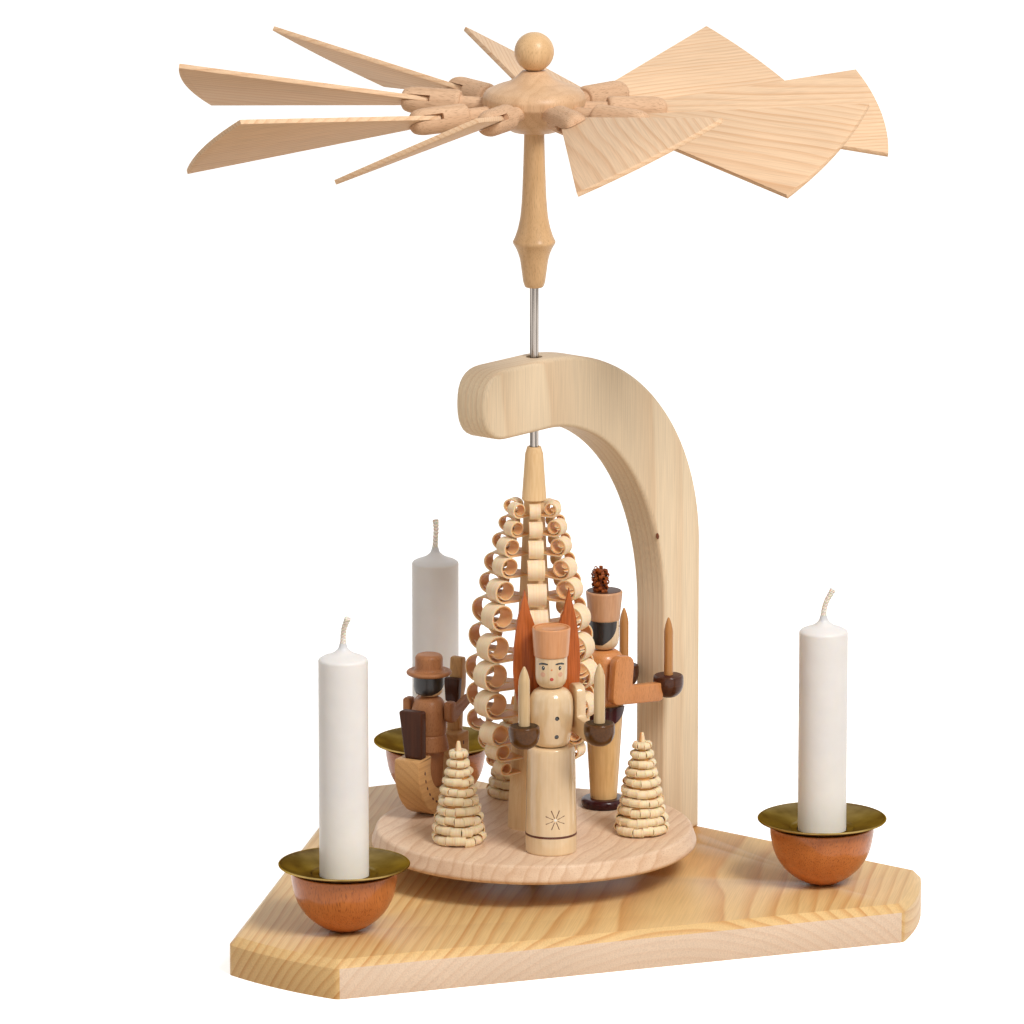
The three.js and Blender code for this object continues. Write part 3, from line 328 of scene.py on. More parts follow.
def beech(
    name, pale, deep, fleck, flecks=0.6, roughness=0.5, coat=0.0, ring=7.0, coat_roughness=0.12, band=0.35, fine=1.0
):
    """Turned or planed beech: even, faintly ringed wood with short dark flecks along the grain."""
    made, tree, principled = blank(
        name, Roughness=roughness, Coat_Weight=coat, Coat_Roughness=coat_roughness, Specular_IOR_Level=0.2
    )
    place = in_wood(tree)
    wander = stretched(tree, place, 0.03, 0.09, detail=2.0)
    split = node(tree, "ShaderNodeSeparateXYZ", {"Vector": place})
    rings = maths(tree, "MULTIPLY_ADD", wander, 2.2, 0.0)
    layer = maths(tree, "MULTIPLY_ADD", split.outputs["Z"], 1.0 / ring, rings)
    season = maths(tree, "FRACT", layer)
    line = ramp(tree, season, ((0.0, grey(1.0)), (0.12, grey(0.0)), (0.7, grey(0.15)), (1.0, grey(1.0))))
    share = maths(tree, "MULTIPLY", line, band)
    colour = blended(tree, share, linear(pale), linear(deep))
    cloud = stretched(tree, place, 0.05, 0.25, detail=3.0)
    colour = blended(tree, ramp(tree, cloud, ((0.35, grey(0.0)), (0.7, grey(0.45)))), colour, linear(deep))
    # vessels and rays: flecks about 1.5 mm long and 0.25 mm across where fine is 1
    pores = stretched(tree, place, 0.5 * fine, 4.2 * fine, detail=1.0, roughness=0.4)
    marks = ramp(tree, pores, ((0.56, grey(0.0)), (0.68, grey(flecks))))
    colour = blended(tree, marks, colour, linear(fleck))
    fibres = stretched(tree, place, 0.1, 4.0, detail=2.0)
    colour = shaded(tree, colour, fibres, 0.3, 0.88, 0.6, 0.6)
    height = maths(tree, "MULTIPLY_ADD", marks, -1.0, fibres)
    finished(tree, principled, colour, height, 0.15, 0.00015)
    return made


def lime_shaving(name, pale, deep, translucent=0.12, hollow=None):
    """Lime wood cut with the chisel: silky, almost without rings, and thin enough for light to warm it."""
    made, tree, principled = blank(
        name,
        Roughness=0.45,
        Specular_IOR_Level=0.2,
        Subsurface_Weight=translucent,
        Subsurface_Scale=0.0006,
        Subsurface_Radius=(1.0, 0.55, 0.25),
    )
    place = in_wood(tree)
    # silky fibre lines, 0.4 mm apart, along the strip
    fibres = stretched(tree, place, 0.05, 2.4, detail=3.0)
    cloud = stretched(tree, place, 0.08, 0.2, detail=1.0)
    colour = blended(tree, ramp(tree, fibres, ((0.3, grey(0.55)), (0.62, grey(0.0)))), linear(pale), linear(deep))
    colour = shaded(tree, colour, cloud, 0.3, 0.93, 0.7)
    if hollow:
        # painted shade: the side towards the roll is painted darker and warmer, for the shade inside the roll and the
        # warm light that comes through the strip
        depth = node(tree, "ShaderNodeSeparateXYZ", {"Vector": place}).outputs["Z"]
        within = node(tree, "ShaderNodeMapRange", {"Value": depth, "From Min": -0.1, "From Max": 0.1}).outputs["Result"]
        colour = blended(tree, within, colour, linear(hollow))
    finished(tree, principled, colour, fibres, 0.12, 0.00015)
    return made


def lacquer(name, body, streak, roughness=0.3, coat=0.8, streaks=0.5, along=0.06):
    """Stained and lacquered wood: grain shows faintly under a glossy film with slight ripples."""
    made, tree, principled = blank(
        name, Roughness=roughness, Coat_Weight=coat, Coat_Roughness=0.06, Coat_IOR=1.5, Specular_IOR_Level=0.15
    )
    place = in_wood(tree)
    fibres = stretched(tree, place, along, 1.6, detail=3.0)
    colour = blended(tree, ramp(tree, fibres, ((0.35, grey(streaks)), (0.65, grey(0.0)))), linear(body), linear(streak))
    cloud = stretched(tree, place, 0.15, 0.3, detail=2.0)
    colour = shaded(tree, colour, cloud, 0.3, 0.9, 0.7)
    finished(tree, principled, colour, fibres, 0.08, 0.0001)
    ripple = stretched(tree, place, 0.5, 0.5, detail=1.0)
    bumped(tree, principled.inputs["Coat Normal"], ripple, 0.1, 0.0002)
    return made


def spun_brass(name, bright, tarnish_and_dark_reflection, roughness=0.28):
    """Brass pressed and spun on a lathe: fine concentric lines, with olive tarnish in clouds, and both colours painted
    darker than brass as a painted dark reflection.
    """
    made, tree, principled = blank(name, Metallic=1.0, Specular_Tint=linear("#B09A66"))
    place = in_wood(tree)
    split = node(tree, "ShaderNodeSeparateXYZ", {"Vector": place})
    flat = node(tree, "ShaderNodeCombineXYZ", {"X": split.outputs["X"], "Y": split.outputs["Y"], "Z": 0.0})
    reach = node(tree, "ShaderNodeVectorMath", {0: flat.outputs["Vector"]}, operation="LENGTH").outputs["Value"]
    # spinning lines 0.25 mm apart
    lines = node(
        tree, "ShaderNodeTexNoise", {"W": reach, "Scale": 4.0, "Detail": 2.0}, noise_dimensions="1D"
    ).outputs["Fac"]
    cloud = clouds(tree, place, 0.12, 4.0)
    # painted dark reflection: both colours are darker than brass, for dark surroundings the metal would mirror; the
    # clouds between them are tarnish
    colour = blended(tree, ramp(tree, cloud, ((0.35, grey(0.25)), (0.65, grey(1.0)))), linear(bright), linear(tarnish_and_dark_reflection))
    tree.links.new(colour, principled.inputs["Base Color"])
    rough = node(tree, "ShaderNodeMapRange", {"Value": cloud, "To Min": roughness, "To Max": roughness + 0.2})
    tree.links.new(rough.outputs["Result"], principled.inputs["Roughness"])
    bumped(tree, principled.inputs["Normal"], lines, 0.12, 0.00008)
    return made


def drawn_steel(name, colour, roughness, on_row=False):
    """Drawn steel rod or screw: bright grey with stripes along its length, partly fine drawing lines and partly painted
    dark reflections.
    """
    made, tree, principled = blank(name, Metallic=1.0, Roughness=roughness, Specular_Tint=linear(colour))
    place = in_wood(tree, on_row)
    drawn = node(tree, "ShaderNodeVectorMath", {0: place, 1: (5.0, 5.0, 0.05)}, operation="MULTIPLY").outputs["Vector"]
    lines = clouds(tree, drawn, 0.35, 3.0)
    # painted reflection: the stripes along the length darken to a quarter, for dark surroundings mirrored in the metal
    colour = shaded(tree, linear(colour), lines, 0.4, 0.25, 0.56)
    finished(tree, principled, colour, lines, 0.1, 0.00005)
    return made


def candle_wax(name):
    """Drawn stearin candle: white, slightly cloudy, with light inside it and a warmer foot."""
    made, tree, principled = blank(
        name,
        Roughness=0.38,
        Subsurface_Weight=0.35,
        Subsurface_Scale=0.004,
        Subsurface_Radius=(1.0, 0.8, 0.6),
        Specular_IOR_Level=0.45,
    )
    place = in_wood(tree)
    split = node(tree, "ShaderNodeSeparateXYZ", {"Vector": place})
    foot = node(
        tree, "ShaderNodeMapRange", {"Value": split.outputs["Z"], "From Min": 16.0, "From Max": 42.0}
    ).outputs["Result"]
    cloud = clouds(tree, place, 0.2, 3.0)
    colour = blended(tree, foot, linear("#F2EEE6"), linear("#E6E5E5"))
    colour = shaded(tree, colour, cloud, 0.3, 0.965, 0.7)
    finished(tree, principled, colour, cloud, 0.06, 0.0004)
    return made


def waxed_cotton(name):
    """Braided cotton wick dipped in wax: off-white strands that wind round it, 0.5 mm apart."""
    made, tree, principled = blank(name, Roughness=0.6, Subsurface_Weight=0.3, Subsurface_Scale=0.001)
    place = in_wood(tree)
    waves = {"Vector": place, "Scale": 0.6, "Distortion": 3.0, "Detail": 2.0}
    braid = node(tree, "ShaderNodeTexWave", waves, bands_direction="DIAGONAL").outputs["Fac"]
    shade = ramp(tree, braid, ((0.2, linear("#D8D0C4")), (0.7, linear("#F4EFE6"))))
    finished(tree, principled, shade, braid, 0.5, 0.0002)
    return made


def brush_paint(name, colour, roughness=0.3, coat=0.5):
    """A dab of model paint: thick, glossy and faintly uneven."""
    made, tree, principled = blank(name, Roughness=roughness, Coat_Weight=coat, Coat_Roughness=0.08)
    place = in_wood(tree)
    cloud = clouds(tree, place, 1.4, 2.0)
    colour = shaded(tree, linear(colour), cloud, 0.3, 0.86, 0.7)
    finished(tree, principled, colour, cloud, 0.15, 0.0002)
    return made


def bearing_glass(name):
    """Pressed glass cup: clear, slightly green, with a few small waves in it."""
    made, tree, principled = blank(
        name, Base_Color=linear("#E4EDE8"), Roughness=0.05, IOR=1.5, Transmission_Weight=0.9
    )
    waves = clouds(tree, in_wood(tree, True), 0.5, 1.0)
    bumped(tree, principled.inputs["Normal"], waves, 0.1, 0.0003)
    return made


def settings_colour(values):
    """A colour of the settings as an sRGB hex code."""
    return "#" + "".join(
        f"{round(255 * (12.92 * v if v <= 0.0031308 else 1.055 * v ** (1 / 2.4) - 0.055)):02X}" for v in values
    )


def wood_settings():
    return bpy.context.scene.pyramid_wood


FINISHES = {
    # pine board, planed and lightly oiled: sharp orange late lines under a soft shine
    "sawn_pine": lambda n: softwood(
        n,
        settings_colour(wood_settings().pine),
        settings_colour(wood_settings().pine_line),
        wood_settings().pine_ring / MM,
        (45.0, 60.0),
        coat=0.15,
        roughness=0.45,
        wobble=0.35,
    ),
    # the same board where the saw crossed its grain at a slant: pale pinkish, dry, with faint lines
    "sawn_side": lambda n: softwood(
        n, "#F0D8C0", "#DFB999", wood_settings().pine_ring / MM, (45.0, 60.0), strength=0.45, roughness=0.6, wobble=0.35
    ),
    # spruce board sawn on edge and sanded: calm face, close parallel lines on its edges
    "sanded_spruce": lambda n: softwood(
        n, "#F5E1C2", "#D9B185", 1.9, (-20.0, 250.0), strength=0.42, roughness=0.5, wobble=0.2
    ),
    # thin quarter-sawn spruce, sanded and left raw: fine straight lines, dry and matt
    "raw_spruce": lambda n: softwood(
        n, "#F0CFAC", "#D29A68", 1.35, (10.0, 46.0), strength=0.6, turn=0.5, roughness=0.6, wobble=0.25
    ),
    # beech turned on a faceplate and waxed: even, pinkish, with short ray flecks
    "waxed_beech": lambda n: beech(
        n, "#E9CEB2", "#D0A988", "#B78C6A", 0.3, roughness=0.5, coat=0.1, ring=3.6, coat_roughness=0.3, band=0.7
    ),
    # beech turned, stained orange and lacquered: dark vessel dashes under a glossy film
    "stained_beech": lambda n: beech(
        n, settings_colour(wood_settings().bowl), "#AE6029", "#7A3C16", 0.6, roughness=0.35, coat=0.4, ring=9.0
    ),
    # beech turned with end grain on its dome, waxed: greyish beige with faint turned lines
    "end_grain_beech": lambda n: beech(
        n, "#DDB892", "#C39A74", "#9F7552", 0.3, roughness=0.45, coat=0.15, ring=4.0, coat_roughness=0.25
    ),
    # beech turned between centres and waxed: honey colour, long faint lines
    "honey_beech": lambda n: beech(
        n, "#E3BE90", "#C9A070", "#A0764A", 0.3, roughness=0.42, coat=0.2, ring=9.0, coat_roughness=0.22
    ),
    # raw beech dowel, slit with a saw: dull, with dark open vessels
    "raw_beech": lambda n: beech(n, "#DDB998", "#C59C7A", "#8A6248", 0.45, roughness=0.65, ring=3.0, fine=1.2),
    # lime turned and pared with the chisel: smooth and almost without marks, its colour painted warmer and darker than
    # the curls as painted shade for where it lies between their rows
    "lime_trunk": lambda n: lime_shaving(n, "#F0D0A2", "#E0B884", 0.0),
    # lime shaving, rolled by the cut itself: silky outside, with painted warm shade in its hollow
    "lime_curl": lambda n: lime_shaving(n, settings_colour(wood_settings().shaving), "#EFCCA0", 0.45, "#EBB982"),
    # lime ringlets cut on the lathe: short silky strips, with painted warm shade on their inner side
    "lime_ringlet": lambda n: lime_shaving(n, "#F6E2C0", "#E8C896", 0.4, "#E0AC74"),
    # the turned stem behind the ringlets, painted orange-brown as painted shade for the shade the ringlets cast on it
    "lime_stem": lambda n: lime_shaving(n, "#E2AE70", "#CE9456", 0.0),
    # turned wood, stained cream and dipped in gloss lacquer: even colour, clear window highlights
    "cream_lacquer": lambda n: lacquer(n, "#E8CDA6", "#DDBA8C", 0.3, 0.8, 0.3),
    # turned wood, stained peach and dipped in lacquer
    "peach_lacquer": lambda n: lacquer(n, "#DDA070", "#C98655", 0.35, 0.45, 0.35),
    # dished end grain that drank more of the peach stain: darker and duller
    "peach_hollow": lambda n: lacquer(n, "#B8622F", "#9C4E22", 0.45, 0.3, 0.4),
    # thin board soaked in red-brown stain: upright streaks, nearly matt
    "wing_stain": lambda n: lacquer(n, "#C86C34", "#9E4F22", 0.5, 0.12, 0.8, 0.1),
    # turned beech, stained orange and dipped in gloss lacquer: short dark dashes
    "orange_beech": lambda n: beech(
        n, "#D6935A", "#BE773E", "#8C4F22", 0.4, roughness=0.35, coat=0.35, ring=4.0, fine=1.6
    ),
    # turned legs, stained yellow and lacquered
    "yellow_lacquer": lambda n: lacquer(n, "#DFB880", "#C89C62", 0.35, 0.4, 0.5),
    # turned stand, stained deep red-brown and lacquered
    "aubergine_lacquer": lambda n: lacquer(n, "#3A1416", "#280D10", 0.3, 0.25, 0.3),
    # small turned bowl, stained dark brown and dipped in thick lacquer that glows amber
    "olive_lacquer": lambda n: lacquer(n, "#5E380F", "#3A2008", 0.3, 0.25, 0.4),
    # small turned bowl, stained red-brown and lacquered, for the miner's lights
    "bowl_brown": lambda n: lacquer(n, "#55301F", "#341A10", 0.3, 0.25, 0.5),
    # its dark reddish top
    "disc_brown": lambda n: lacquer(n, "#431A18", "#2C0F10", 0.5, 0.2, 0.4),
    # dull top of a bowl round its candle
    "olive_flat": lambda n: lacquer(n, "#453016", "#2E1D0C", 0.6, 0.05, 0.6),
    # split wooden candle, stained ivory
    "bone_lacquer": lambda n: lacquer(n, "#D8BC92", "#BC9C6C", 0.4, 0.3, 0.5),
    # split wooden candle, stained tan
    "tan_lacquer": lambda n: lacquer(n, "#C48C52", "#A8703A", 0.4, 0.4, 0.4),
    # turned hat, stained pinkish beige and lacquered
    "hat_pink": lambda n: lacquer(n, "#D2A27C", "#B98560", 0.4, 0.4, 0.45),
    # its end grain, which the stain made dark
    "hat_dark": lambda n: lacquer(n, "#54321F", "#3E2416", 0.5, 0.2, 0.4),
    # brushed gloss paint, black: hair
    "hair_black": lambda n: brush_paint(n, "#180F0C", 0.4, 0.15),
    # stain line drawn with a fine brush
    "line_brown": lambda n: brush_paint(n, "#5A2A18", 0.5, 0.1),
    # dots of black paint: eyes, brows and buttons
    "eye_black": lambda n: brush_paint(n, "#120D0C", 0.25, 0.6),
    # dots of white paint
    "eye_white": lambda n: brush_paint(n, "#F2F0EA", 0.3, 0.5),
    # dab of red paint
    "mouth_red": lambda n: brush_paint(n, "#C23A20", 0.3, 0.4),
    # rouge rubbed thinly on the cheeks
    "cheek_mauve": lambda n: brush_paint(n, "#DDAA8C", 0.45, 0.2),
    # dot of orange paint
    "nose_orange": lambda n: brush_paint(n, "#DC8A56", 0.4, 0.3),
    # stained shavings of the plume, thin enough to glow, with painted shade on their inner side
    "plume_shaving": lambda n: lime_shaving(n, "#9A4E18", "#5A240A", 0.2, hollow="#6B2C0C"),
    # thin split leather, pressed smooth: aubergine with a dull gloss
    "split_leather": lambda n: lacquer(n, "#431D22", "#2E1116", 0.35, 0.35, 0.3),
    # turned beech, stained walnut and waxed
    "rider_beech": lambda n: beech(
        n, "#AE7850", "#97623D", "#6E4426", 0.45, roughness=0.5, coat=0.1, ring=4.0, fine=1.6
    ),
    # small pine board, sawn and oiled: tan with fine lines
    "oiled_pine": lambda n: softwood(
        n, "#D0A26C", "#A87446", 1.9, (14.0, 22.0), strength=0.45, roughness=0.5, coat=0.1, wobble=0.2
    ),
    # small blocks soaked in dark stain
    "dark_block": lambda n: lacquer(n, "#4A2818", "#331A10", 0.55, 0.1, 0.6),
    # pin knot of the board: hard, red-brown and smooth
    "knot_brown": lambda n: lacquer(n, "#7A4020", "#542A14", 0.5, 0.1, 0.5),
    # spots of thin brown paint
    "spot_brown": lambda n: brush_paint(n, "#4A2414", 0.5, 0.1),
    # brass sheet spun to a pan, with fine circles: dark, partly from brown tarnish and partly from a painted dark
    # reflection
    "pan_brass": lambda n: spun_brass(n, "#A18C62", "#6C5C40", 0.24),
    # its rolled rim, painted brighter than the pan as a painted highlight
    "rim_brass": lambda n: spun_brass(n, "#B59A62", "#8C7440", 0.22),
    # drawn steel rod, bright but darkened in stripes along it: partly drawing marks, partly painted reflection
    "steel_rod": lambda n: drawn_steel(n, "#B9AFA6", 0.25),
    "stearin": candle_wax,
    "wick_cotton": waxed_cotton,
    # drawn and plated steel of the screws
    "node_steel": lambda n: drawn_steel(n, "#A8A6A2", 0.3, True),
    # drawn brass tube of the guide
    "node_brass": lambda n: drawn_steel(n, "#A88A48", 0.3, True),
    "node_glass": bearing_glass,
}


def finish_of(name):
    """The material with this name, made at its first use."""
    return bpy.data.materials.get(name) or FINISHES[name](name)


# Shapes


class Part:
    """Points in millimetres, their places in the raw wood, faces, and the name of a finish."""

    def __init__(self, points, faces, finish, grain=None):
        self.points = np.asarray(points, float).reshape(-1, 3)
        self.faces = [tuple(face) for face in faces]
        self.finish = finish
        self.grain = self.points.copy() if grain is None else np.asarray(grain, float).reshape(-1, 3)

    def outward(self):
        """Turns every face if the closed skin encloses a negative volume."""
        volume = 0.0
        for face in self.faces:
            a = self.points[face[0]]
            for b, c in zip(face[1:-1], face[2:]):
                volume += float(np.dot(a, np.cross(self.points[b], self.points[c])))
        if volume < 0:
            self.faces = [face[::-1] for face in self.faces]
        return self

    def moved(self, matrix):
        m = np.array(matrix)
        return Part(self.points @ m[:3, :3].T + m[:3, 3], self.faces, self.finish, self.grain)

    def cut_from(self, matrix):
        """The same part, sawn out of the raw wood at another place and angle."""
        m = np.array(matrix)
        return Part(self.points, self.faces, self.finish, self.grain @ m[:3, :3].T + m[:3, 3])

    def upright(self):
        """The same part with its grain standing, as in a piece turned between centres."""
        return self.cut_from(turn(90, "Y"))


def shift(x=0.0, y=0.0, z=0.0):
    return Matrix.Translation((x, y, z))


def turn(degrees, axis="Z"):
    return Matrix.Rotation(math.radians(degrees), 4, axis)


def polar(radius, degrees):
    """X and Y of a place at an azimuth."""
    return radius * math.cos(math.radians(degrees)), radius * math.sin(math.radians(degrees))


def about_axis(radius, angle, height):
    """A point round the Z axis; its angle is in radians."""
    return radius * math.cos(angle), radius * math.sin(angle), height


def circle(radius, sides, height):
    """Points round the Z axis."""
    return [about_axis(radius, 2 * math.pi * j / sides, height) for j in range(sides)]


def skin_over(rings, sides):
    """Four-cornered faces between rings that hold the same number of points and follow each other."""
    faces = []
    for n in range(rings - 1):
        for j in range(sides):
            k = (j + 1) % sides
            faces.append((n * sides + j, n * sides + k, (n + 1) * sides + k, (n + 1) * sides + j))
    return faces


def mesh_of(name, parts, sharp=32.0):
    """One mesh of several parts, with their finishes and the grain attribute."""
    finishes = list(dict.fromkeys(part.finish for part in parts))
    faces, slots, start = [], [], 0
    for part in parts:
        faces += [tuple(start + i for i in face) for face in part.faces]
        slots += [finishes.index(part.finish)] * len(part.faces)
        start += len(part.points)
    mesh = bpy.data.meshes.new(name)
    mesh.from_pydata((np.vstack([part.points for part in parts]) * MM).tolist(), [], faces)
    for finish in finishes:
        mesh.materials.append(finish_of(finish))
    mesh.polygons.foreach_set("material_index", slots)
    grain = np.vstack([part.grain for part in parts]).astype(np.float32)
    mesh.attributes.new("grain", "FLOAT_VECTOR", "POINT").data.foreach_set("vector", grain.ravel())
    mesh.shade_smooth()
    mesh.set_sharp_from_angle(angle=math.radians(sharp))
    mesh.update()
    return mesh


def piece(name, parts, body, slot, *stands_for, sharp=32.0):
    """Links a finished piece, lets it ride on its body and stand for its nodes."""
    made = bpy.data.objects.new(name, mesh_of(name, parts, sharp))
    bpy.context.scene.collection.objects.link(made)
    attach(made, body)
    if stands_for:
        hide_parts(*stands_for)
    return made


def stand_in(name, parts, body, slot, place=Matrix.Identity(4), sharp=32.0):
    """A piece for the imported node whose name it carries."""
    return piece(f"{name}_finished", [part.moved(place) for part in parts], body, slot, name, sharp=sharp)


def on_plate(name, parts, place, slot, sharp=32.0):
    """A stand-in that turns with the plate."""
    return stand_in(name, parts, "carousel", slot, place, sharp)


def spline(points, steps):
    """A smooth line through points."""
    p = np.asarray(points, float)
    line = np.vstack([2 * p[0] - p[1], p, 2 * p[-1] - p[-2]])
    made = []
    for k in range(1, len(line) - 2):
        a, b, c, d = line[k - 1 : k + 3]
        for t in np.arange(steps) / steps:
            made.append(
                0.5 * (2 * b + (c - a) * t + (2 * a - 5 * b + 4 * c - d) * t**2 + (3 * b - a - 3 * c + d) * t**3)
            )
    made.append(p[-1])
    return [tuple(q) for q in made]


def eased(corners, closed=False, steps=4):
    """Rounds each corner that gives a third number, its reach along both sides."""
    made = []
    count = len(corners)
    for k, corner in enumerate(corners):
        here = np.array(corner[:2], float)
        if len(corner) < 3 or (not closed and k in (0, count - 1)):
            made.append(tuple(here))
            continue
        before = np.array(corners[k - 1][:2], float) - here
        after = np.array(corners[(k + 1) % count][:2], float) - here
        long_before, long_after = np.linalg.norm(before), np.linalg.norm(after)
        reach = min(corner[2], 0.49 * long_before, 0.49 * long_after)
        first, last = here + before / long_before * reach, here + after / long_after * reach
        for t in np.arange(steps + 1) / steps:
            made.append(tuple((1 - t) ** 2 * first + 2 * t * (1 - t) * here + t**2 * last))
    return made


def turned(profile, finish, sides=64, closed=False):
    """A piece from the lathe: its profile is radius and height, and goes up the outside."""
    points, rings = [], []
    for radius, height in profile:
        start = len(points)
        if radius < 1e-6:
            points.append((0.0, 0.0, height))
            rings.append([start])
            continue
        points += circle(radius, sides, height)
        rings.append(list(range(start, start + sides)))
    faces = []
    for low, high in zip(rings, rings[1:] + ([rings[0]] if closed else [])):
        if len(low) == len(high) == 1:
            continue
        for j in range(sides):
            k = (j + 1) % sides
            if len(low) == 1:
                faces.append((low[0], high[k], high[j]))
            elif len(high) == 1:
                faces.append((low[j], low[k], high[0]))
            else:
                faces.append((low[j], low[k], high[k], high[j]))
    made = Part(points, faces, finish)
    return made.outward() if closed else made


def lathed(profile, finish, sides=64, steps=4, closed=False):
    """A piece from the lathe whose profile still has its corners to be rounded."""
    return turned(eased(profile, closed, steps), finish, sides, closed)


def sawn(outline, bottom, top, ease, finish, steps=3):
    """A board sawn to an outline in its XY plane, with rounded edges."""
    line = np.asarray(outline, float)
    following = np.roll(line, -1, axis=0)
    if float(np.sum(line[:, 0] * following[:, 1] - following[:, 0] * line[:, 1])) < 0:
        line = line[::-1]
    ahead = np.roll(line, -1, axis=0) - line
    ahead /= np.linalg.norm(ahead, axis=1)[:, None]
    middle = ahead + np.roll(ahead, 1, axis=0)
    length = np.linalg.norm(middle, axis=1)[:, None]
    inward = -np.column_stack([middle[:, 1], -middle[:, 0]]) / length / np.maximum(length / 2, 0.5)
    angles = [math.pi / 2 * k / steps for k in range(steps + 1)]
    rings = [(ease * (1 - math.sin(a)), bottom + ease * (1 - math.cos(a))) for a in angles]
    rings += [(ease * (1 - math.sin(a)), top - ease * (1 - math.cos(a))) for a in angles[::-1]]
    points, count = [], len(line)
    for inset, height in rings:
        ring = line + inward * inset
        points += [(x, y, height) for x, y in ring]
    faces = [tuple(range(count))[::-1], tuple(range(len(points) - count, len(points)))]
    return Part(points, faces + skin_over(len(rings), count), finish)


# a board's own X and Y turned to stand along X and Z, and along Y and Z
STAND_X = Matrix(((1, 0, 0, 0), (0, 0, -1, 0), (0, 1, 0, 0), (0, 0, 0, 1)))
STAND_Y = Matrix(((0, 0, 1, 0), (1, 0, 0, 0), (0, 1, 0, 0), (0, 0, 0, 1)))


def swept(path, radii, finish, sides=12):
    """A round cord-like piece along a path, such as a wick."""
    p = np.asarray(path, float)
    ahead = np.gradient(p, axis=0)
    ahead /= np.linalg.norm(ahead, axis=1)[:, None]
    side = np.cross(ahead[0], (0.3, 0.7, 0.2))
    side /= np.linalg.norm(side)
    points, grain, along = [], [], 0.0
    for k, (centre, direction) in enumerate(zip(p, ahead)):
        side = side - direction * np.dot(side, direction)
        side /= np.linalg.norm(side)
        other = np.cross(direction, side)
        along += 0.0 if k == 0 else float(np.linalg.norm(p[k] - p[k - 1]))
        for j in range(sides):
            angle = 2 * math.pi * j / sides
            offset = radii[k] * (math.cos(angle) * side + math.sin(angle) * other)
            points.append(centre + offset)
            grain.append((along, radii[k] * math.cos(angle), radii[k] * math.sin(angle)))
    last = (len(p) - 1) * sides
    faces = [tuple(range(sides))[::-1], tuple(range(last, last + sides))]
    return Part(points, faces + skin_over(len(p), sides), finish, grain).outward()


def shaving(path, halves, thickness, finish):
    """A thin strip along a path in its XZ plane, as wide as twice its halves."""
    p = np.asarray(path, float)
    ahead = np.gradient(p, axis=0)
    ahead /= np.linalg.norm(ahead, axis=1)[:, None]
    off = np.column_stack([-ahead[:, 1], ahead[:, 0]])
    points, grain, along = [], [], 0.0
    for k, (x, z) in enumerate(p):
        along += 0.0 if k == 0 else float(np.linalg.norm(p[k] - p[k - 1]))
        for share, half in ((0.5, -1.0), (0.5, 1.0), (-0.5, 1.0), (-0.5, -1.0)):
            dx, dz = off[k] * share * thickness[k]
            points.append((x + dx, half * halves[k], z + dz))
            grain.append((along, half * halves[k], share * thickness[k]))
    faces = [(3, 2, 1, 0), tuple(range(len(points) - 4, len(points)))]
    return Part(points, faces + skin_over(len(p), 4), finish, grain).outward()


def radius_on(form, height):
    """The radius of a turned form at a height."""
    heights = [h for r, h in form]
    return float(np.interp(height, heights, [r for r, h in form]))


def dab(form, azimuth, height, outline, lift, finish):
    """A dab of paint on a turned form; its outline is in millimetres across and up."""
    points, rings = [], ((1.0, -0.12), (1.0, lift * 0.35), (0.82, lift * 0.8), (0.5, lift))
    for share, rise in rings:
        for across, up in outline:
            z = height + up * share
            radius = radius_on(form, z)
            angle = math.radians(azimuth) + across * share / radius
            points.append(about_axis(radius + rise, angle, z))
    radius = radius_on(form, height) + lift
    points.append(about_axis(radius, math.radians(azimuth), height))
    count = len(outline)
    faces = [tuple(range(count))[::-1]] + skin_over(len(rings), count)
    start = (len(rings) - 1) * count
    faces += [(start + j, start + (j + 1) % count, len(points) - 1) for j in range(count)]
    return Part(points, faces, finish).outward()


def spun(outline, angle):
    """A flat outline turned about its origin; the angle is in radians."""
    c, s = math.cos(angle), math.sin(angle)
    return [(x * c - y * s, x * s + y * c) for x, y in outline]


def oval(across, up, count=16, lean=0.0):
    """A closed oval; its lean is in radians."""
    angles = [2 * math.pi * k / count for k in range(count)]
    return spun([(across * math.cos(a), up * math.sin(a)) for a in angles], lean)


def mantle(form, heights, left, right, thickness, finish):
    """A layer over part of a turned form, such as hair or leather; left and right are azimuths at each height."""
    points, columns = [], 24
    for rise in (thickness, -0.15):
        for height, start, end in zip(heights, left, right):
            radius = radius_on(form, height) + rise
            for j in range(columns + 1):
                angle = math.radians(start + (end - start) * j / columns)
                points.append(about_axis(radius, angle, height))
    rows, wide = len(heights), columns + 1
    under = rows * wide
    faces = []
    for n in range(rows - 1):
        for j in range(columns):
            a = n * wide + j
            faces.append((a, a + 1, a + wide + 1, a + wide))
            b = under + a
            faces.append((b + wide, b + wide + 1, b + 1, b))
        for j, flip in ((0, False), (columns, True)):
            a = n * wide + j
            rim = (a, a + wide, under + a + wide, under + a)
            faces.append(rim[::-1] if flip else rim)
    for j in range(columns):
        for n, flip in ((0, True), (rows - 1, False)):
            a = n * wide + j
            rim = (a, a + 1, under + a + 1, under + a)
            faces.append(rim[::-1] if not flip else rim)
    return Part(points, faces, finish).outward()


def part_of(skin, finish):
    """A bmesh as a part; the bmesh is freed."""
    skin.verts.index_update()
    points = [tuple(v.co / MM) for v in skin.verts]
    faces = [tuple(v.index for v in face.verts) for face in skin.faces]
    skin.free()
    return Part(points, faces, finish)


def drop(*objects):
    """Removes helper objects with their meshes."""
    for spare in objects:
        data = spare.data
        bpy.data.objects.remove(spare)
        bpy.data.meshes.remove(data)


def wrapped(form, heights, spread, thickness, finish):
    """A layer on the back of a turned form, as far as the spread's degrees to either side."""
    return mantle(form, heights, [180 - s for s in spread], [180 + s for s in spread], thickness, finish)


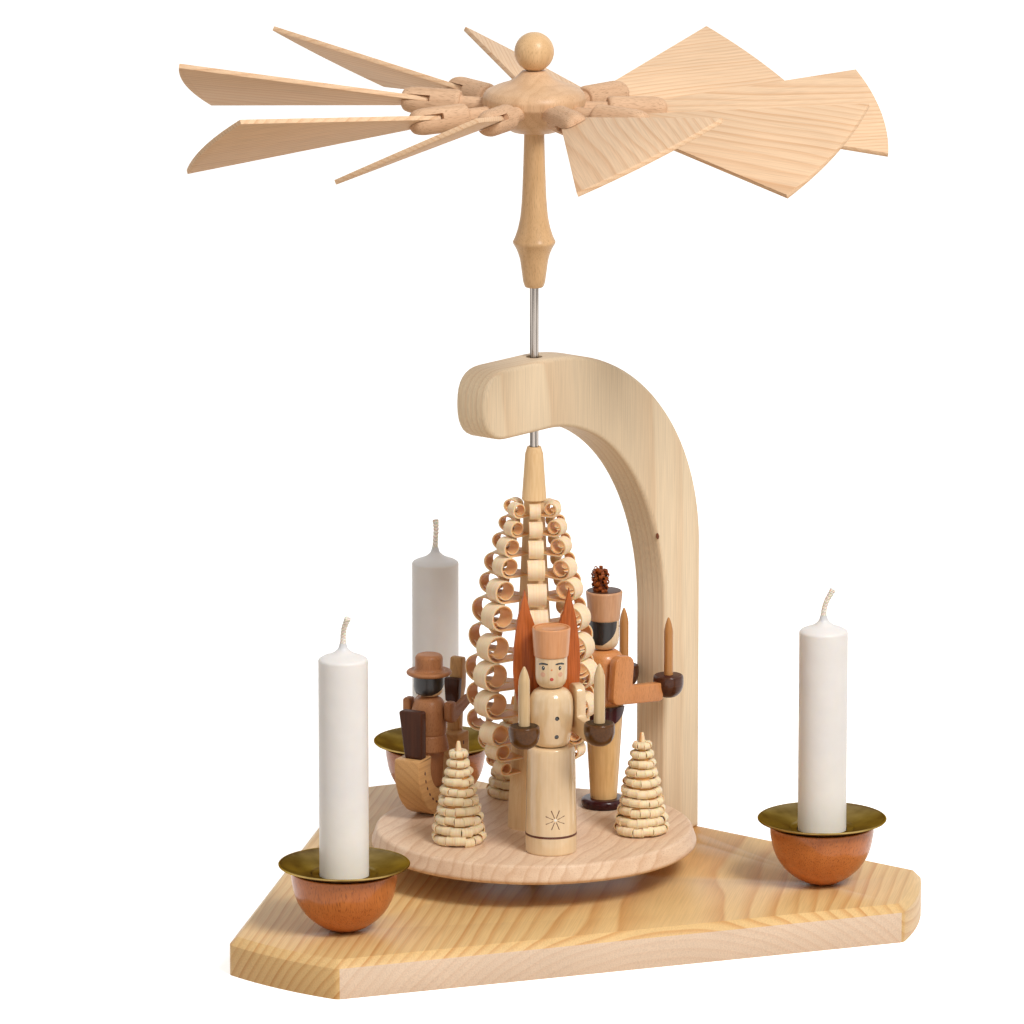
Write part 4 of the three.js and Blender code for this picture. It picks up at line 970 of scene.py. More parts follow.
def merged_copy(name, ease, steps, finish):
    """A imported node's own shape as a part: its loose triangles merged and its edges rounded."""
    skin = bmesh.new()
    skin.from_mesh(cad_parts[name].data)
    bmesh.ops.remove_doubles(skin, verts=skin.verts, dist=2e-6)
    bmesh.ops.dissolve_limit(skin, angle_limit=math.radians(0.6), verts=skin.verts, edges=skin.edges)
    corners = [e for e in skin.edges if len(e.link_faces) == 2 and e.calc_face_angle() > math.radians(30)]
    bmesh.ops.bevel(
        skin, geom=corners, offset=ease * MM, segments=steps, profile=0.5, affect="EDGES", clamp_overlap=True
    )
    return part_of(skin, finish)


def bored(part, tool):
    """The part with the tool's solid taken out of it."""
    made = [bpy.data.objects.new(name, mesh_of(name, [shape])) for name, shape in (("whole", part), ("tool", tool))]
    for item in made:
        bpy.context.scene.collection.objects.link(item)
    modifier = made[0].modifiers.new("cut", "BOOLEAN")
    modifier.object = made[1]
    modifier.operation = "DIFFERENCE"
    modifier.solver = "EXACT"
    result = bpy.data.meshes.new_from_object(made[0].evaluated_get(bpy.context.evaluated_depsgraph_get()))
    made[0].modifiers.clear()
    skin = bmesh.new()
    skin.from_mesh(result)
    bmesh.ops.remove_doubles(skin, verts=skin.verts, dist=1e-7)
    drop(*made)
    bpy.data.meshes.remove(result)
    return part_of(skin, part.finish)


def ring_maker():
    """Node tree that sets copies of one shape round the Z axis, with a seeded unevenness."""
    made = bpy.data.node_groups.get("copies_round_axis")
    if made:
        return made
    made = bpy.data.node_groups.new("copies_round_axis", "GeometryNodeTree")
    face = made.interface
    for label, kind in (
        ("Shape", "NodeSocketObject"),
        ("Count", "NodeSocketInt"),
        ("Height", "NodeSocketFloat"),
        ("First turn", "NodeSocketFloat"),
        ("Turn scatter", "NodeSocketFloat"),
        ("Tilt scatter", "NodeSocketFloat"),
        ("Size scatter", "NodeSocketFloat"),
        ("Seed", "NodeSocketInt"),
        ("Finish", "NodeSocketMaterial"),
    ):
        face.new_socket(name=label, in_out="INPUT", socket_type=kind)
    face.new_socket(name="Geometry", in_out="OUTPUT", socket_type="NodeSocketGeometry")
    given = node(made, "NodeGroupInput").outputs
    places = node(made, "GeometryNodeMeshLine", {"Count": given["Count"], "Offset": (0.0, 0.0, 0.0)})
    lifted = node(made, "ShaderNodeCombineXYZ", {"Z": given["Height"]})
    raised = node(
        made, "GeometryNodeSetPosition", {"Geometry": places.outputs["Mesh"], "Offset": lifted.outputs["Vector"]}
    )
    index = node(made, "GeometryNodeInputIndex").outputs["Index"]
    step = maths(made, "DIVIDE", 2 * math.pi, given["Count"])
    base = maths(made, "MULTIPLY_ADD", index, step, given["First turn"])

    def scattered(label, offset):
        low = maths(made, "MULTIPLY", given[label], -1.0)
        seed = maths(made, "ADD", given["Seed"], offset)
        chance = node(made, "FunctionNodeRandomValue", {"ID": index, "Seed": seed}, data_type="FLOAT")
        made.links.new(low, chance.inputs[2])
        made.links.new(given[label], chance.inputs[3])
        return chance.outputs[1]

    angle = maths(made, "ADD", base, scattered("Turn scatter", 11.0))
    euler = node(made, "ShaderNodeCombineXYZ", {"Y": scattered("Tilt scatter", 23.0), "Z": angle})
    rotation = node(made, "FunctionNodeEulerToRotation", {"Euler": euler.outputs["Vector"]})
    size = maths(made, "ADD", 1.0, scattered("Size scatter", 37.0))
    scale = node(made, "ShaderNodeCombineXYZ", {"X": size, "Y": size, "Z": size})
    shape = node(made, "GeometryNodeObjectInfo", {"Object": given["Shape"]})
    copies = node(
        made,
        "GeometryNodeInstanceOnPoints",
        {
            "Points": raised.outputs["Geometry"],
            "Instance": shape.outputs["Geometry"],
            "Rotation": rotation.outputs["Rotation"],
            "Scale": scale.outputs["Vector"],
        },
    )
    real = node(made, "GeometryNodeRealizeInstances", {"Geometry": copies.outputs["Instances"]})
    dressed = node(made, "GeometryNodeSetMaterial", {"Geometry": real.outputs["Geometry"], "Material": given["Finish"]})
    node(made, "NodeGroupOutput", {"Geometry": dressed.outputs["Geometry"]})
    return made


def copies_round(part, count, height, first_turn, turn_scatter, tilt_scatter, size_scatter, seed):
    """Runs the node tree on one part and gives the copies back as a part."""
    tree = ring_maker()
    source = bpy.data.objects.new("shape_to_copy", mesh_of("shape_to_copy", [part]))
    holder = bpy.data.objects.new("ring_of_copies", bpy.data.meshes.new("ring_of_copies"))
    bpy.context.scene.collection.objects.link(holder)
    modifier = holder.modifiers.new("copies", "NODES")
    modifier.node_group = tree
    values = {
        "Shape": source,
        "Count": count,
        "Height": height * MM,
        "First turn": first_turn,
        "Turn scatter": turn_scatter,
        "Tilt scatter": tilt_scatter,
        "Size scatter": size_scatter,
        "Seed": seed,
        "Finish": finish_of(part.finish),
    }
    for item in tree.interface.items_tree:
        if item.item_type == "SOCKET" and item.in_out == "INPUT":
            modifier[item.identifier] = values[item.name]
    depsgraph = bpy.context.evaluated_depsgraph_get()
    made = bpy.data.meshes.new_from_object(holder.evaluated_get(depsgraph))
    points = np.zeros(len(made.vertices) * 3, np.float32)
    made.vertices.foreach_get("co", points)
    grain = np.zeros(len(made.vertices) * 3, np.float32)
    made.attributes["grain"].data.foreach_get("vector", grain)
    faces = [tuple(polygon.vertices) for polygon in made.polygons]
    holder.modifiers.clear()
    drop(holder, source)
    bpy.data.meshes.remove(made)
    if not faces:
        raise RuntimeError("the node tree gave no copies")
    # each copy comes from its own bit of wood
    made_grain = grain.reshape(-1, 3)
    per_copy = len(made_grain) // count
    made_grain[:, 0] += np.repeat(np.arange(count) * 17.0 + height * 3.0, per_copy)[: len(made_grain)]
    return Part(points.reshape(-1, 3) / MM, faces, part.finish, made_grain)


# Pieces of the stand


class PYRAMID_OT_stand(bpy.types.Operator):
    """Finishes the base board, the arch, and the screws, bearing and guide that stay as packed"""

    bl_idname = "pyramid.stand"
    bl_label = "Stand"

    def execute(self, context):
        # the board's grain runs along its left edge
        base = merged_copy("base_board", 0.35, 2, "sawn_pine").cut_from(turn(-BASE_GRAIN))
        made = stand_in("base_board", [base], "stand", "pine", sharp=40)
        # two of the long sides cross the grain, and were left as the saw made them
        made.data.materials.append(finish_of("sawn_side"))
        for face in made.data.polygons:
            out = face.normal
            if abs(out.z) < 0.3 and any(
                out.x * x + out.y * y > 0.95 for x, y in (polar(1, a) for a in BASE_SIDES_ACROSS)
            ):
                face.material_index = 1
        drill = turned([(0, 125), (2.4, 125), (2.4, 160), (0, 160)], "sanded_spruce", 40)
        upright_grain = Matrix(((0, 0, 1, 0), (0, 1, 0, 0), (1, 0, 0, 0), (0, 0, 0, 1)))
        arch = bored(self.arch(), drill).moved(shift(0, 0, BASE_TOP)).cut_from(upright_grain)
        stand_in("arch_bow", [arch], "stand", "arch_pine", sharp=28)
        knot = sawn(oval(0.6, 0.95, 14, 0.3), 5.4, 5.7, 0.1, "knot_brown")
        piece("arch_knot", [knot.moved(STAND_Y).moved(shift(0, 50.0, 102.6))], "stand", "arch_pine")
        for name, finish in (
            ("arch_screw_1", "node_steel"),
            ("arch_screw_2", "node_steel"),
            ("bearing_cup", "node_glass"),
            ("guide_bush", "node_brass"),
        ):
            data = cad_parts[name].data
            data.materials.clear()
            data.materials.append(finish_of(finish))
        return {"FINISHED"}

    def arch(self):
        """The hook-shaped board, with a long quarter-round outside, a quarter oval inside and a rounded nose."""
        outer_start, inner_start = 86.0, 68.0
        outer_rise, inner_rise = ARCH_TOP - outer_start, ARCH_UNDER - inner_start
        outer = [
            (ARCH_OUTSIDE * math.cos(a), outer_start + outer_rise * math.sin(a))
            for a in np.linspace(0, math.pi / 2, 44)
        ]
        inner = [
            (ARCH_INSIDE * math.sin(a), inner_start + inner_rise * math.cos(a)) for a in np.linspace(0, math.pi / 2, 40)
        ]
        nose = [(ARCH_NOSE, ARCH_TOP, 9.6), (ARCH_NOSE, ARCH_UNDER, 10.0)]
        line = eased([(ARCH_INSIDE, 0.0), (ARCH_OUTSIDE, 0.0)] + outer + nose + inner, closed=True, steps=8)
        return sawn(line, -ARCH_HALF_THICKNESS, ARCH_HALF_THICKNESS, 1.4, "sanded_spruce", 4).moved(STAND_Y)


BOWL = eased(
    [
        (0, 0), (3.2, 0, 1.0), (6.6, 1.35, 2.6), (10.9, 4.6, 3.0), (13.9, 9.4, 3.4), (14.95, 15.2, 2.4),
        (14.95, 17.25, 0.3), (14.3, 17.3),
    ],
    steps=5,
)


class PYRAMID_OT_candle_places(bpy.types.Operator):
    """Turns the three bowls with their pins, spins the brass pans and casts the candles"""

    bl_idname = "pyramid.candle_places"
    bl_label = "Candle places"

    def execute(self, context):
        outer = [(0, -7), (1.6, -7, 0.2), (2.0, -6.4, 0.3), (2.0, 0.2)] + [p for p in BOWL if p[0] > 2.4]
        bowl_line = eased(outer) + [(9.3, 15.4), (7.95, 15.4), (7.95, 3.9), (0, 3.9)]
        dish = [(7.2, 16.3, 0.1), (9.0, 16.3, 0.4), (9.5, 16.75, 0.3), (13.5, 17.75, 2.0), (17.4, 19.0, 0.6)]
        rim = [(17.9, 19.25), (18.2, 19.5), (18.45, 19.45), (18.5, 19.25), (18.35, 19.0), (18.0, 18.85)]
        under = [
            (13.5, 17.3, 2.0), (9.6, 16.15, 0.4), (9.2, 15.75, 0.4), (7.75, 15.7, 0.1), (7.75, 4.05, 0.3), (0, 4.05)
        ]
        cup = [(0, 4.65), (7.1, 4.65, 0.3)]
        for k, azimuth in enumerate(HOLDER_AZIMUTHS):
            x, y = polar(HOLDER_RING, azimuth)
            place = shift(x, y, BASE_TOP)
            lay = turn((15, -20, 70)[k])
            bowl = turned(bowl_line, "stained_beech", 72).cut_from(shift(3.0 * k, 5.0, 40.0 * k) @ lay @ turn(84, "Y"))
            stand_in(f"candle_bowl_{k + 1}", [bowl], f"holder_{k + 1}", "bowl_beech", place)
            pan_line = eased(cup + dish, steps=3) + rim + eased([(17.9, 18.8)] + under, steps=3)
            pan = turned(pan_line[::-1], "pan_brass", 72).cut_from(shift(0, 0, 30 * k))
            edge = [(18.1, 19.28), (18.35, 19.12), (18.55, 19.2), (18.58, 19.42), (18.4, 19.6), (18.15, 19.55)]
            # the rolled rim gets a brighter brass colour, a painted highlight
            rolled = turned(edge, "rim_brass", 72, closed=True)
            stand_in(f"drip_pan_{k + 1}", [pan.outward(), rolled], f"holder_{k + 1}", "brass", place)
            self.candle(k, place)
        return {"FINISHED"}

    def candle(self, k, place):
        """A candle whose shoulder has melted a little, and its bent wick."""
        top = CANDLE_FOOT + CANDLE_HEIGHTS[k]
        body = lathed(
            [
                (0, CANDLE_FOOT), (6.7, CANDLE_FOOT, 0.2), (CANDLE_RADIUS, 5.2, 0.3), (CANDLE_RADIUS, top - 2.6, 0.5),
                (5.9, top - 1.9, 1.6), (3.0, top - 0.9, 1.4), (1.35, top + 0.5, 0.6), (0.95, top + 2.0), (0, top + 2.2),
            ],
            "stearin",
            64,
            steps=5,
        )
        lean = (-35, 10, 110)[k]
        line = spline(
            [
                (0, 0, top - 0.6), (0, 0, top + 2.2), (0.25, 0, top + 4.4), (1.0, 0.1, top + 6.6),
                (2.0, 0.5, top + 8.6), (2.5, 0.8, top + 9.7),
            ],
            6,
        )
        count = len(line)
        radii = [0.95 - 0.2 * math.sin(math.pi * i / (count - 1)) + 0.08 * math.sin(2.3 * i) for i in range(count)]
        wick = swept(line, radii, "wick_cotton", 14).moved(turn(lean))
        stand_in(f"candle_{k + 1}", [body, wick], f"candle_piece_{k + 1}", "wax", place)


class PYRAMID_OT_spindle(bpy.types.Operator):
    """Turns the hub, the handle and the ball, and draws the steel rod"""

    bl_idname = "pyramid.spindle"
    bl_label = "Spindle and hub"

    def execute(self, context):
        rod = lathed([(0, 9.35), (0.25, 9.4, 0.1), (1.25, 11.7, 0.3), (1.25, 235.9, 0.2), (0, 236.0)], "steel_rod", 32)
        stand_in("spindle_rod", [rod], "carousel", "steel")
        foot = HUB_FOOT
        under = [
            (1.45, foot), (6.3, foot, 0.3), (9.85, foot + 2.05, 2.0), (12.5, foot + 5.06, 2.0), (14.6, foot + 7.8, 0.5)
        ]
        band = [(14.7, foot + 9.8, 0.6), (14.35, foot + 10.7, 0.5)]
        dome = [
            (13.6, foot + 11.8, 1.2), (10.6, foot + 13.2, 2.2), (7.2, foot + 14.2, 2.2), (4.9, foot + 15.8, 1.6),
            (3.5, foot + 17.4, 0.5), (1.45, foot + 17.5),
        ]
        hub = turned(eased(under + band + dome, steps=6) + [(1.45, foot + 17.4)], "end_grain_beech", 72, closed=True)
        stand_in("rotor_hub", [hub.cut_from(turn(90, "Y") @ shift(4, 0, 0))], "rotor", "hub_beech")
        low = foot - HANDLE_LENGTH
        handle_line = [
            (1.45, low), (2.6, low, 0.4), (3.15, low + 1.5, 0.6), (3.72, low + 5.85, 1.2), (4.1, low + 8.4, 1.0),
            (5.0, low + 11.0, 1.2), (6.05, low + 12.8, 0.5), (6.1, low + 13.3, 0.25), (5.6, low + 14.2, 0.5),
            (4.75, low + 16.6, 2.2), (3.95, low + 20.2, 3.0), (3.48, low + 25.6, 4.0), (3.05, low + 37.3, 4.0),
            (2.88, foot), (1.45, foot),
        ]
        handle = lathed(handle_line, "honey_beech", 56, steps=6, closed=True)
        stand_in("spindle_handle", [handle.cut_from(turn(90, "Y") @ shift(9, 3, 0))], "rotor", "handle_beech")
        centre = foot + 17.7 + 5.12
        angles = np.linspace(math.asin(2.4 / BALL_RADIUS), math.pi, 24)[:-1]
        line = [(BALL_RADIUS * math.sin(a), centre - BALL_RADIUS * math.cos(a)) for a in angles]
        ball = turned([(0, line[0][1])] + line + [(0, centre + BALL_RADIUS)], "honey_beech", 56)
        stand_in("finial_ball", [ball.cut_from(turn(78, "Y") @ shift(0, 5, -8))], "rotor", "handle_beech")
        return {"FINISHED"}


def blade_place(k):
    """Where one blade's own X lies, with the scatter of a rotor set by hand."""
    azimuth = BLADE_PHASE + 360 / BLADE_COUNT * k + BLADE_TURNS[k]
    pitch = BLADE_PITCH + BLADE_TWISTS[k]
    return shift(0, 0, ROTOR_HEIGHT) @ turn(azimuth) @ turn(BLADE_DROOPS[k], "Y") @ turn(pitch, "X")


class PYRAMID_OT_blades(bpy.types.Operator):
    """Saws the nine thin blades and slits the dowels that hold them"""

    bl_idname = "pyramid.blades"
    bl_label = "Blades and dowels"

    def execute(self, context):
        tip = math.asin(BLADE_HALF_WIDTH / BLADE_REACH)
        arc = [(BLADE_REACH * math.cos(a), BLADE_REACH * math.sin(a)) for a in np.linspace(-tip, tip, 31)]
        outline = [(BLADE_ROOT, -BLADE_ROOT_HALF_WIDTH)] + arc + [(BLADE_ROOT, BLADE_ROOT_HALF_WIDTH)]
        blade = sawn(outline, -0.7, 0.7, 0.16, "raw_spruce", 2)
        dowel = self.dowel()
        for k in range(BLADE_COUNT):
            place = blade_place(k)
            # each blade is cut from another bit of the board, at a slightly different angle to its grain
            slant = turn((k * 5) % 9 * 2.6 - 9) @ turn((k * 7) % 9 * 5 - 20, "X")
            leaf = blade.cut_from(shift(31.0 * k, 7.0 * ((k * 4) % 9 - 4), 3.0 * k) @ slant)
            stand_in(f"blade_{k + 1}", [leaf], f"blade_set_{k + 1}", "blade_pine", place, sharp=40)
            stick = dowel.cut_from(shift(47.0 * k, 5.0 * k, 3.0 * k) @ turn(37.0 * k, "X"))
            stand_in(f"blade_holder_{k + 1}", [stick], f"blade_set_{k + 1}", "dowel_beech", place, sharp=38)
        return {"FINISHED"}

    def dowel(self):
        """A dowel along X with a thin neck, rounded ends and a slit for the blade's root."""
        line = [
            (0, 8.5), (2.0, 8.5, 0.2), (2.2, 9.0, 0.2), (2.2, 21.3, 0.5), (3.3, 21.15, 0.7), (3.85, 22.1, 0.8),
            (3.85, 35.2, 2.4), (3.2, 37.6, 1.4), (2.0, 38.4, 0.6), (0, 38.4),
        ]
        solid = lathed(line, "raw_beech", 40, steps=5).moved(turn(90, "Y"))
        return bored(solid, sawn([(29.7, -6), (42, -6), (42, 6), (29.7, 6)], -0.85, 0.85, 0.02, "raw_beech", 1))


class PYRAMID_OT_plate(bpy.types.Operator):
    """Turns the plate that carries the figures"""

    bl_idname = "pyramid.plate"
    bl_label = "Turning plate"

    def execute(self, context):
        low, top = PLATE_TOP - PLATE_THICKNESS, PLATE_TOP
        line = [
            (ROD_HOLE, low), (45.9, low, 0.4), (47.05, low + 0.9, 0.7), (47.1, low + 1.6, 0.4), (45.9, top - 0.5, 0.5),
            (45.3, top, 0.4), (ROD_HOLE, top),
        ]
        plate = lathed(line, "waxed_beech", 128, steps=4, closed=True)
        plate = plate.cut_from(turn(72, "X") @ turn(-110) @ shift(0, 0, 3))
        stand_in("turntable", [plate], "carousel", "plate_beech")
        return {"FINISHED"}


# The curled tree and the small trees


def figure_place(radius, azimuth, facing):
    """Where a figure or a small tree stands on the plate, and the way it faces."""
    return shift(*polar(radius, azimuth), PLATE_TOP) @ turn(facing)


def trunk_radius(height):
    """The trunk's cone before it is carved."""
    share = (height - PLATE_TOP) / (TREE_TOP - PLATE_TOP)
    return TRUNK_FOOT_RADIUS + (TRUNK_TOP_RADIUS - TRUNK_FOOT_RADIUS) * share


def trunk(settings):
    """The tree's trunk: a round foot, a six-sided carved length, and a round tip left thicker than the carving."""
    sides, points = 72, []
    heights = sorted([*np.linspace(PLATE_TOP, TREE_TOP, 56), CARVED_TOP - 0.7, CARVED_TOP, CARVED_TOP + 0.25])
    for height in heights:
        carved = min(1.0, max(0.0, (height - CARVED_FOOT) / 1.6))
        tip = min(1.0, max(0.0, (height - CARVED_TOP + 0.7) / 0.7))
        stem = 3.55 - 1.1 * (height - CARVED_TOP) / (TREE_TOP - CARVED_TOP)
        end = 1 - max(0.0, (height - TREE_TOP + 0.8) / 0.8) * 0.2
        for j in range(sides):
            angle = 2 * math.pi * j / sides
            off = (angle + math.pi / 6) % (math.pi / 3) - math.pi / 6
            flat = math.cos(math.pi / 6) / math.cos(off)
            radius = trunk_radius(height) * (1 + (flat - 1) * carved)
            radius = (radius + (stem - radius) * tip) * end
            points.append(about_axis(radius, angle, height))
    faces = skin_over(len(heights), sides)
    inner = len(points)
    for height in (heights[0], heights[-1]):
        points += circle(ROD_HOLE, sides, height)
    last = (len(heights) - 1) * sides
    for j in range(sides):
        k = (j + 1) % sides
        faces.append((j, inner + j, inner + k, k))
        faces.append((last + k, inner + sides + k, inner + sides + j, last + j))
        faces.append((inner + j, inner + sides + j, inner + sides + k, inner + k))
    return Part(points, faces, "lime_trunk").upright().moved(turn(math.degrees(settings.turn)))


def tree_curl(size, reach, width, height, settings):
    """One shaving: it leaves its flat, passes under its curl and winds inside it."""
    centre = reach - size / 2
    flat = trunk_radius(height) * math.cos(math.pi / 6)
    thickness = settings.thickness / MM
    start, sweep = math.radians(262), settings.sweep
    radius = size / 2 - thickness / 2
    path = [(flat - 0.5, -size / 2 + thickness * 0.8), ((flat + centre) / 2 - 0.2, -size / 2 + thickness * 0.62)]
    steps = 34
    for k in range(steps + 1):
        share = k / steps
        angle = start + sweep * share
        r = radius * (1 - 0.36 * share**1.4)
        path.append((centre + r * math.cos(angle), r * math.sin(angle)))
    count = len(path)
    halves = [width / 2 * (0.92 + 0.08 * math.sin(math.pi * k / (count - 1))) for k in range(count)]
    root = min(width / 2, 0.95 * flat * math.tan(math.pi / 6))
    halves[0], halves[1] = root, (root + width / 2) / 2
    thick = [thickness * (1.15 - 0.65 * k / (count - 1)) for k in range(count)]
    return shaving(path, halves, thick, "lime_curl")


class PYRAMID_OT_curled_tree(bpy.types.Operator):
    """Carves the tree: twelve tiers of curled shavings round a six-sided trunk"""

    bl_idname = "pyramid.curled_tree"
    bl_label = "Curled tree"

    def execute(self, context):
        settings = context.scene.pyramid_tree
        parts, height = [trunk(settings)], CURL_TOP
        for k, (size, reach, width) in enumerate(zip(CURL_SIZES, CURL_REACHES, CURL_WIDTHS)):
            if k:
                height -= 0.993 * (size + CURL_SIZES[k - 1]) / 2
            # the lowest tiers are the loosest
            wild = 1.0 if k < 9 else 2.2
            scatter = settings.scatter * wild
            curl = tree_curl(size, reach, width, height, settings)
            tier = copies_round(
                curl, settings.rows, height, settings.turn, scatter, scatter, 0.02 * wild, settings.seed + k
            )
            self.reach_out(tier.points, LONG_ROW, 2.0)
            parts.append(tier)
        stand_in("curl_tree", parts, "carousel", "shaving", sharp=40)
        return {"FINISHED"}

    def reach_out(self, points, azimuth, extra):
        """Draws one row of curls out from the trunk: its strips were cut longer than the others."""
        reach = np.hypot(points[:, 0], points[:, 1])
        off = (np.degrees(np.arctan2(points[:, 1], points[:, 0])) - azimuth + 180) % 360 - 180
        share = np.clip((reach - 4.0) / 10.0, 0.0, 1.0) * (np.abs(off) < 30)
        points[:, 0] += extra * share * math.cos(math.radians(azimuth))
        points[:, 1] += extra * share * math.sin(math.radians(azimuth))


class PYRAMID_OT_small_trees(bpy.types.Operator):
    """Rings three little cones with tiers of fine ringlets"""

    bl_idname = "pyramid.small_trees"
    bl_label = "Small trees"

    def execute(self, context):
        settings = context.scene.pyramid_tree
        for k, (radius, azimuth) in enumerate(SMALL_TREE_PLACES):
            parts = self.core() + self.tiers(settings, settings.seed + 50 * (k + 1))
            on_plate(f"small_tree_{k + 1}", parts, figure_place(radius, azimuth, 31.0 * k), "shaving", sharp=45)
        return {"FINISHED"}

    def core(self):
        """The stem of a small tree and its tip."""
        line = [(0, 0), (5.6, 0, 0.3), (5.5, 1.0, 0.4), (5.0, 8.0, 1.0), (3.0, 19.0, 1.0), (0.9, 26.6, 0.8), (0, 26.6)]
        top = [(0, 26.4), (1.0, 26.4, 0.2), (0.75, 28.4, 0.4), (0.5, 29.8, 0.3), (0, 29.8)]
        return [lathed(line, "lime_stem", 24).upright(), lathed(top, "lime_ringlet", 20).upright()]

    def tiers(self, settings, seed):
        """Rings of small curled strips that get smaller and fewer upwards."""
        made = []
        for n in range(settings.tiers):
            share = n / (settings.tiers - 1)
            reach = 7.75 - 5.0 * share**1.15
            size = 2.7 - 0.7 * share
            count = max(7, round(settings.ringlets * (1 - 0.5 * share)))
            height = 1.6 + 25.0 * share
            pitch = 2 * math.pi * (reach - size * 0.25) / count
            flare = max(0.0, share - 0.6)
            path = []
            for k in range(13):
                angle = math.radians(-150 + 290 * k / 12)
                r = size / 2 - 0.14
                path.append(
                    (
                        reach - size / 2 + r * math.cos(angle),
                        r * math.sin(angle) * 0.98 - flare * 1.4 * math.cos(angle / 2),
                    )
                )
            path.insert(0, (reach - size - 0.9, -size * 0.18))
            halves = [pitch * 0.535] * len(path)
            thick = [0.42 - 0.012 * k for k in range(len(path))]
            ringlet = shaving(path, halves, thick, "lime_ringlet")
            made.append(copies_round(ringlet, count, height, 0.7 * n, 0.03, 0.07, 0.05, seed + n))
        return made


# Figures


def ring_groove(radius, height, depth=0.25, half=0.33):
    """A turned groove as four points of a profile."""
    return [
        (radius, height - half), (radius - depth, height - half * 0.6), (radius - depth, height + half * 0.6),
        (radius, height + half),
    ]


def shoulder(side, body_radius, splay):
    """Where an arm leaves its body, turned outwards by its splay."""
    return shift(0, side * (body_radius + 1.7), 0) @ turn(side * splay)


def arm_board(low, side, body_radius, splay, tilt, finish):
    """An L-shaped arm from a thin board with rounded shoulder, tilted about its hand."""
    top, wrist = low + 14.4, low + 5.4
    hand = low + 2.7
    line = eased(
        [
            (-5.4, low, 2.6), (14.6, low, 1.4), (14.6, wrist, 1.4), (2.0, wrist, 0.8), (2.0, top, 3.2), (-5.4, top, 3.2)
        ],
        closed=True,
        steps=6,
    )
    board = sawn(line, -1.4, 1.4, 0.35, finish).moved(STAND_X)
    tilted = board.moved(shift(ARM_REACH, 0, hand) @ turn(tilt, "Y") @ shift(-ARM_REACH, 0, -hand))
    return tilted.moved(shoulder(side, body_radius, splay))


def arm_light(low, side, body_radius, splay, bowl_finish, top_finish, candle_finish, candle_radius):
    """A turned half-round bowl with a pointed wooden candle."""
    bottom = low + 0.8
    place = shoulder(side, body_radius, splay) @ shift(ARM_REACH, 0, 0)
    bowl = lathed(
        [
            (0, bottom), (2.0, bottom, 0.8), (3.7, bottom + 1.3, 1.2), (4.5, bottom + 3.6, 1.5),
            (4.4, bottom + 6.1, 0.5), (4.1, bottom + 6.6, 0.3), (0, bottom + 6.6),
        ],
        bowl_finish,
        40,
        steps=5,
    )
    disc = lathed(
        [(0, bottom + 6.5), (3.9, bottom + 6.5), (3.85, bottom + 6.66, 0.05), (0, bottom + 6.66)], top_finish, 36
    )
    tip = bottom + 6.6 + 17.2
    candle = lathed(
        [
            (0, bottom + 6.5), (candle_radius, bottom + 6.5), (candle_radius, tip - 4.0, 0.6),
            (candle_radius * 0.62, tip - 1.6, 0.8), (0.25, tip - 0.1, 0.15), (0, tip),
        ],
        candle_finish,
        24,
    )
    return [part.moved(place) for part in (bowl, disc, candle.upright())]


# radii and heights of a turned doll's head, as shares of its own
HEAD = [(0.0, 0.0), (0.3, 0.0), (0.55, 0.02), (0.75, 0.075), (0.89, 0.16), (0.965, 0.28), (1.0, 0.45), (1.0, 1.0)]


def head_form(radius, height, bottom):
    """A doll's head as a profile, without its flat top."""
    return [(r * radius, bottom + h * height) for r, h in HEAD]


def brow(side):
    """A thick brow that rises outwards, as a closed line about its own middle."""
    arc = [(1.1, 1.15), (2.0, 1.36), (3.1, 1.34), (4.1, 0.95)]
    line = [(x, y - 0.2) for x, y in arc] + [(x, y + 0.2) for x, y in arc[::-1]]
    line = [(x - 2.6, y - 1.05) for x, y in line]
    return line if side > 0 else [(-x, y) for x, y in line[::-1]]


def face_marks(form, height, radius):
    """Brows, eyes, nose dot, cheeks and mouth of a turned doll's head that faces along X."""
    marks = []
    for side in (-1, 1):
        marks.append(dab(form, math.degrees(side * 2.6 / radius), height + 1.05, brow(side), 0.06, "eye_black"))
        marks.append(dab(form, math.degrees(side * 2.5 / radius), height, oval(0.5, 0.62), 0.09, "eye_black"))
        marks.append(
            dab(form, math.degrees((side * 2.5 + 0.16) / radius), height + 0.2, oval(0.14, 0.15, 8), 0.14, "eye_white")
        )
        marks.append(dab(form, math.degrees(side * 2.65 / radius), height - 1.9, oval(0.8, 0.7), 0.03, "cheek_mauve"))
    marks.append(dab(form, 0, height - 0.45, oval(0.28, 0.28, 10), 0.06, "nose_orange"))
    marks.append(dab(form, 0, height - 3.2, oval(0.55, 0.5), 0.08, "mouth_red"))
    return marks


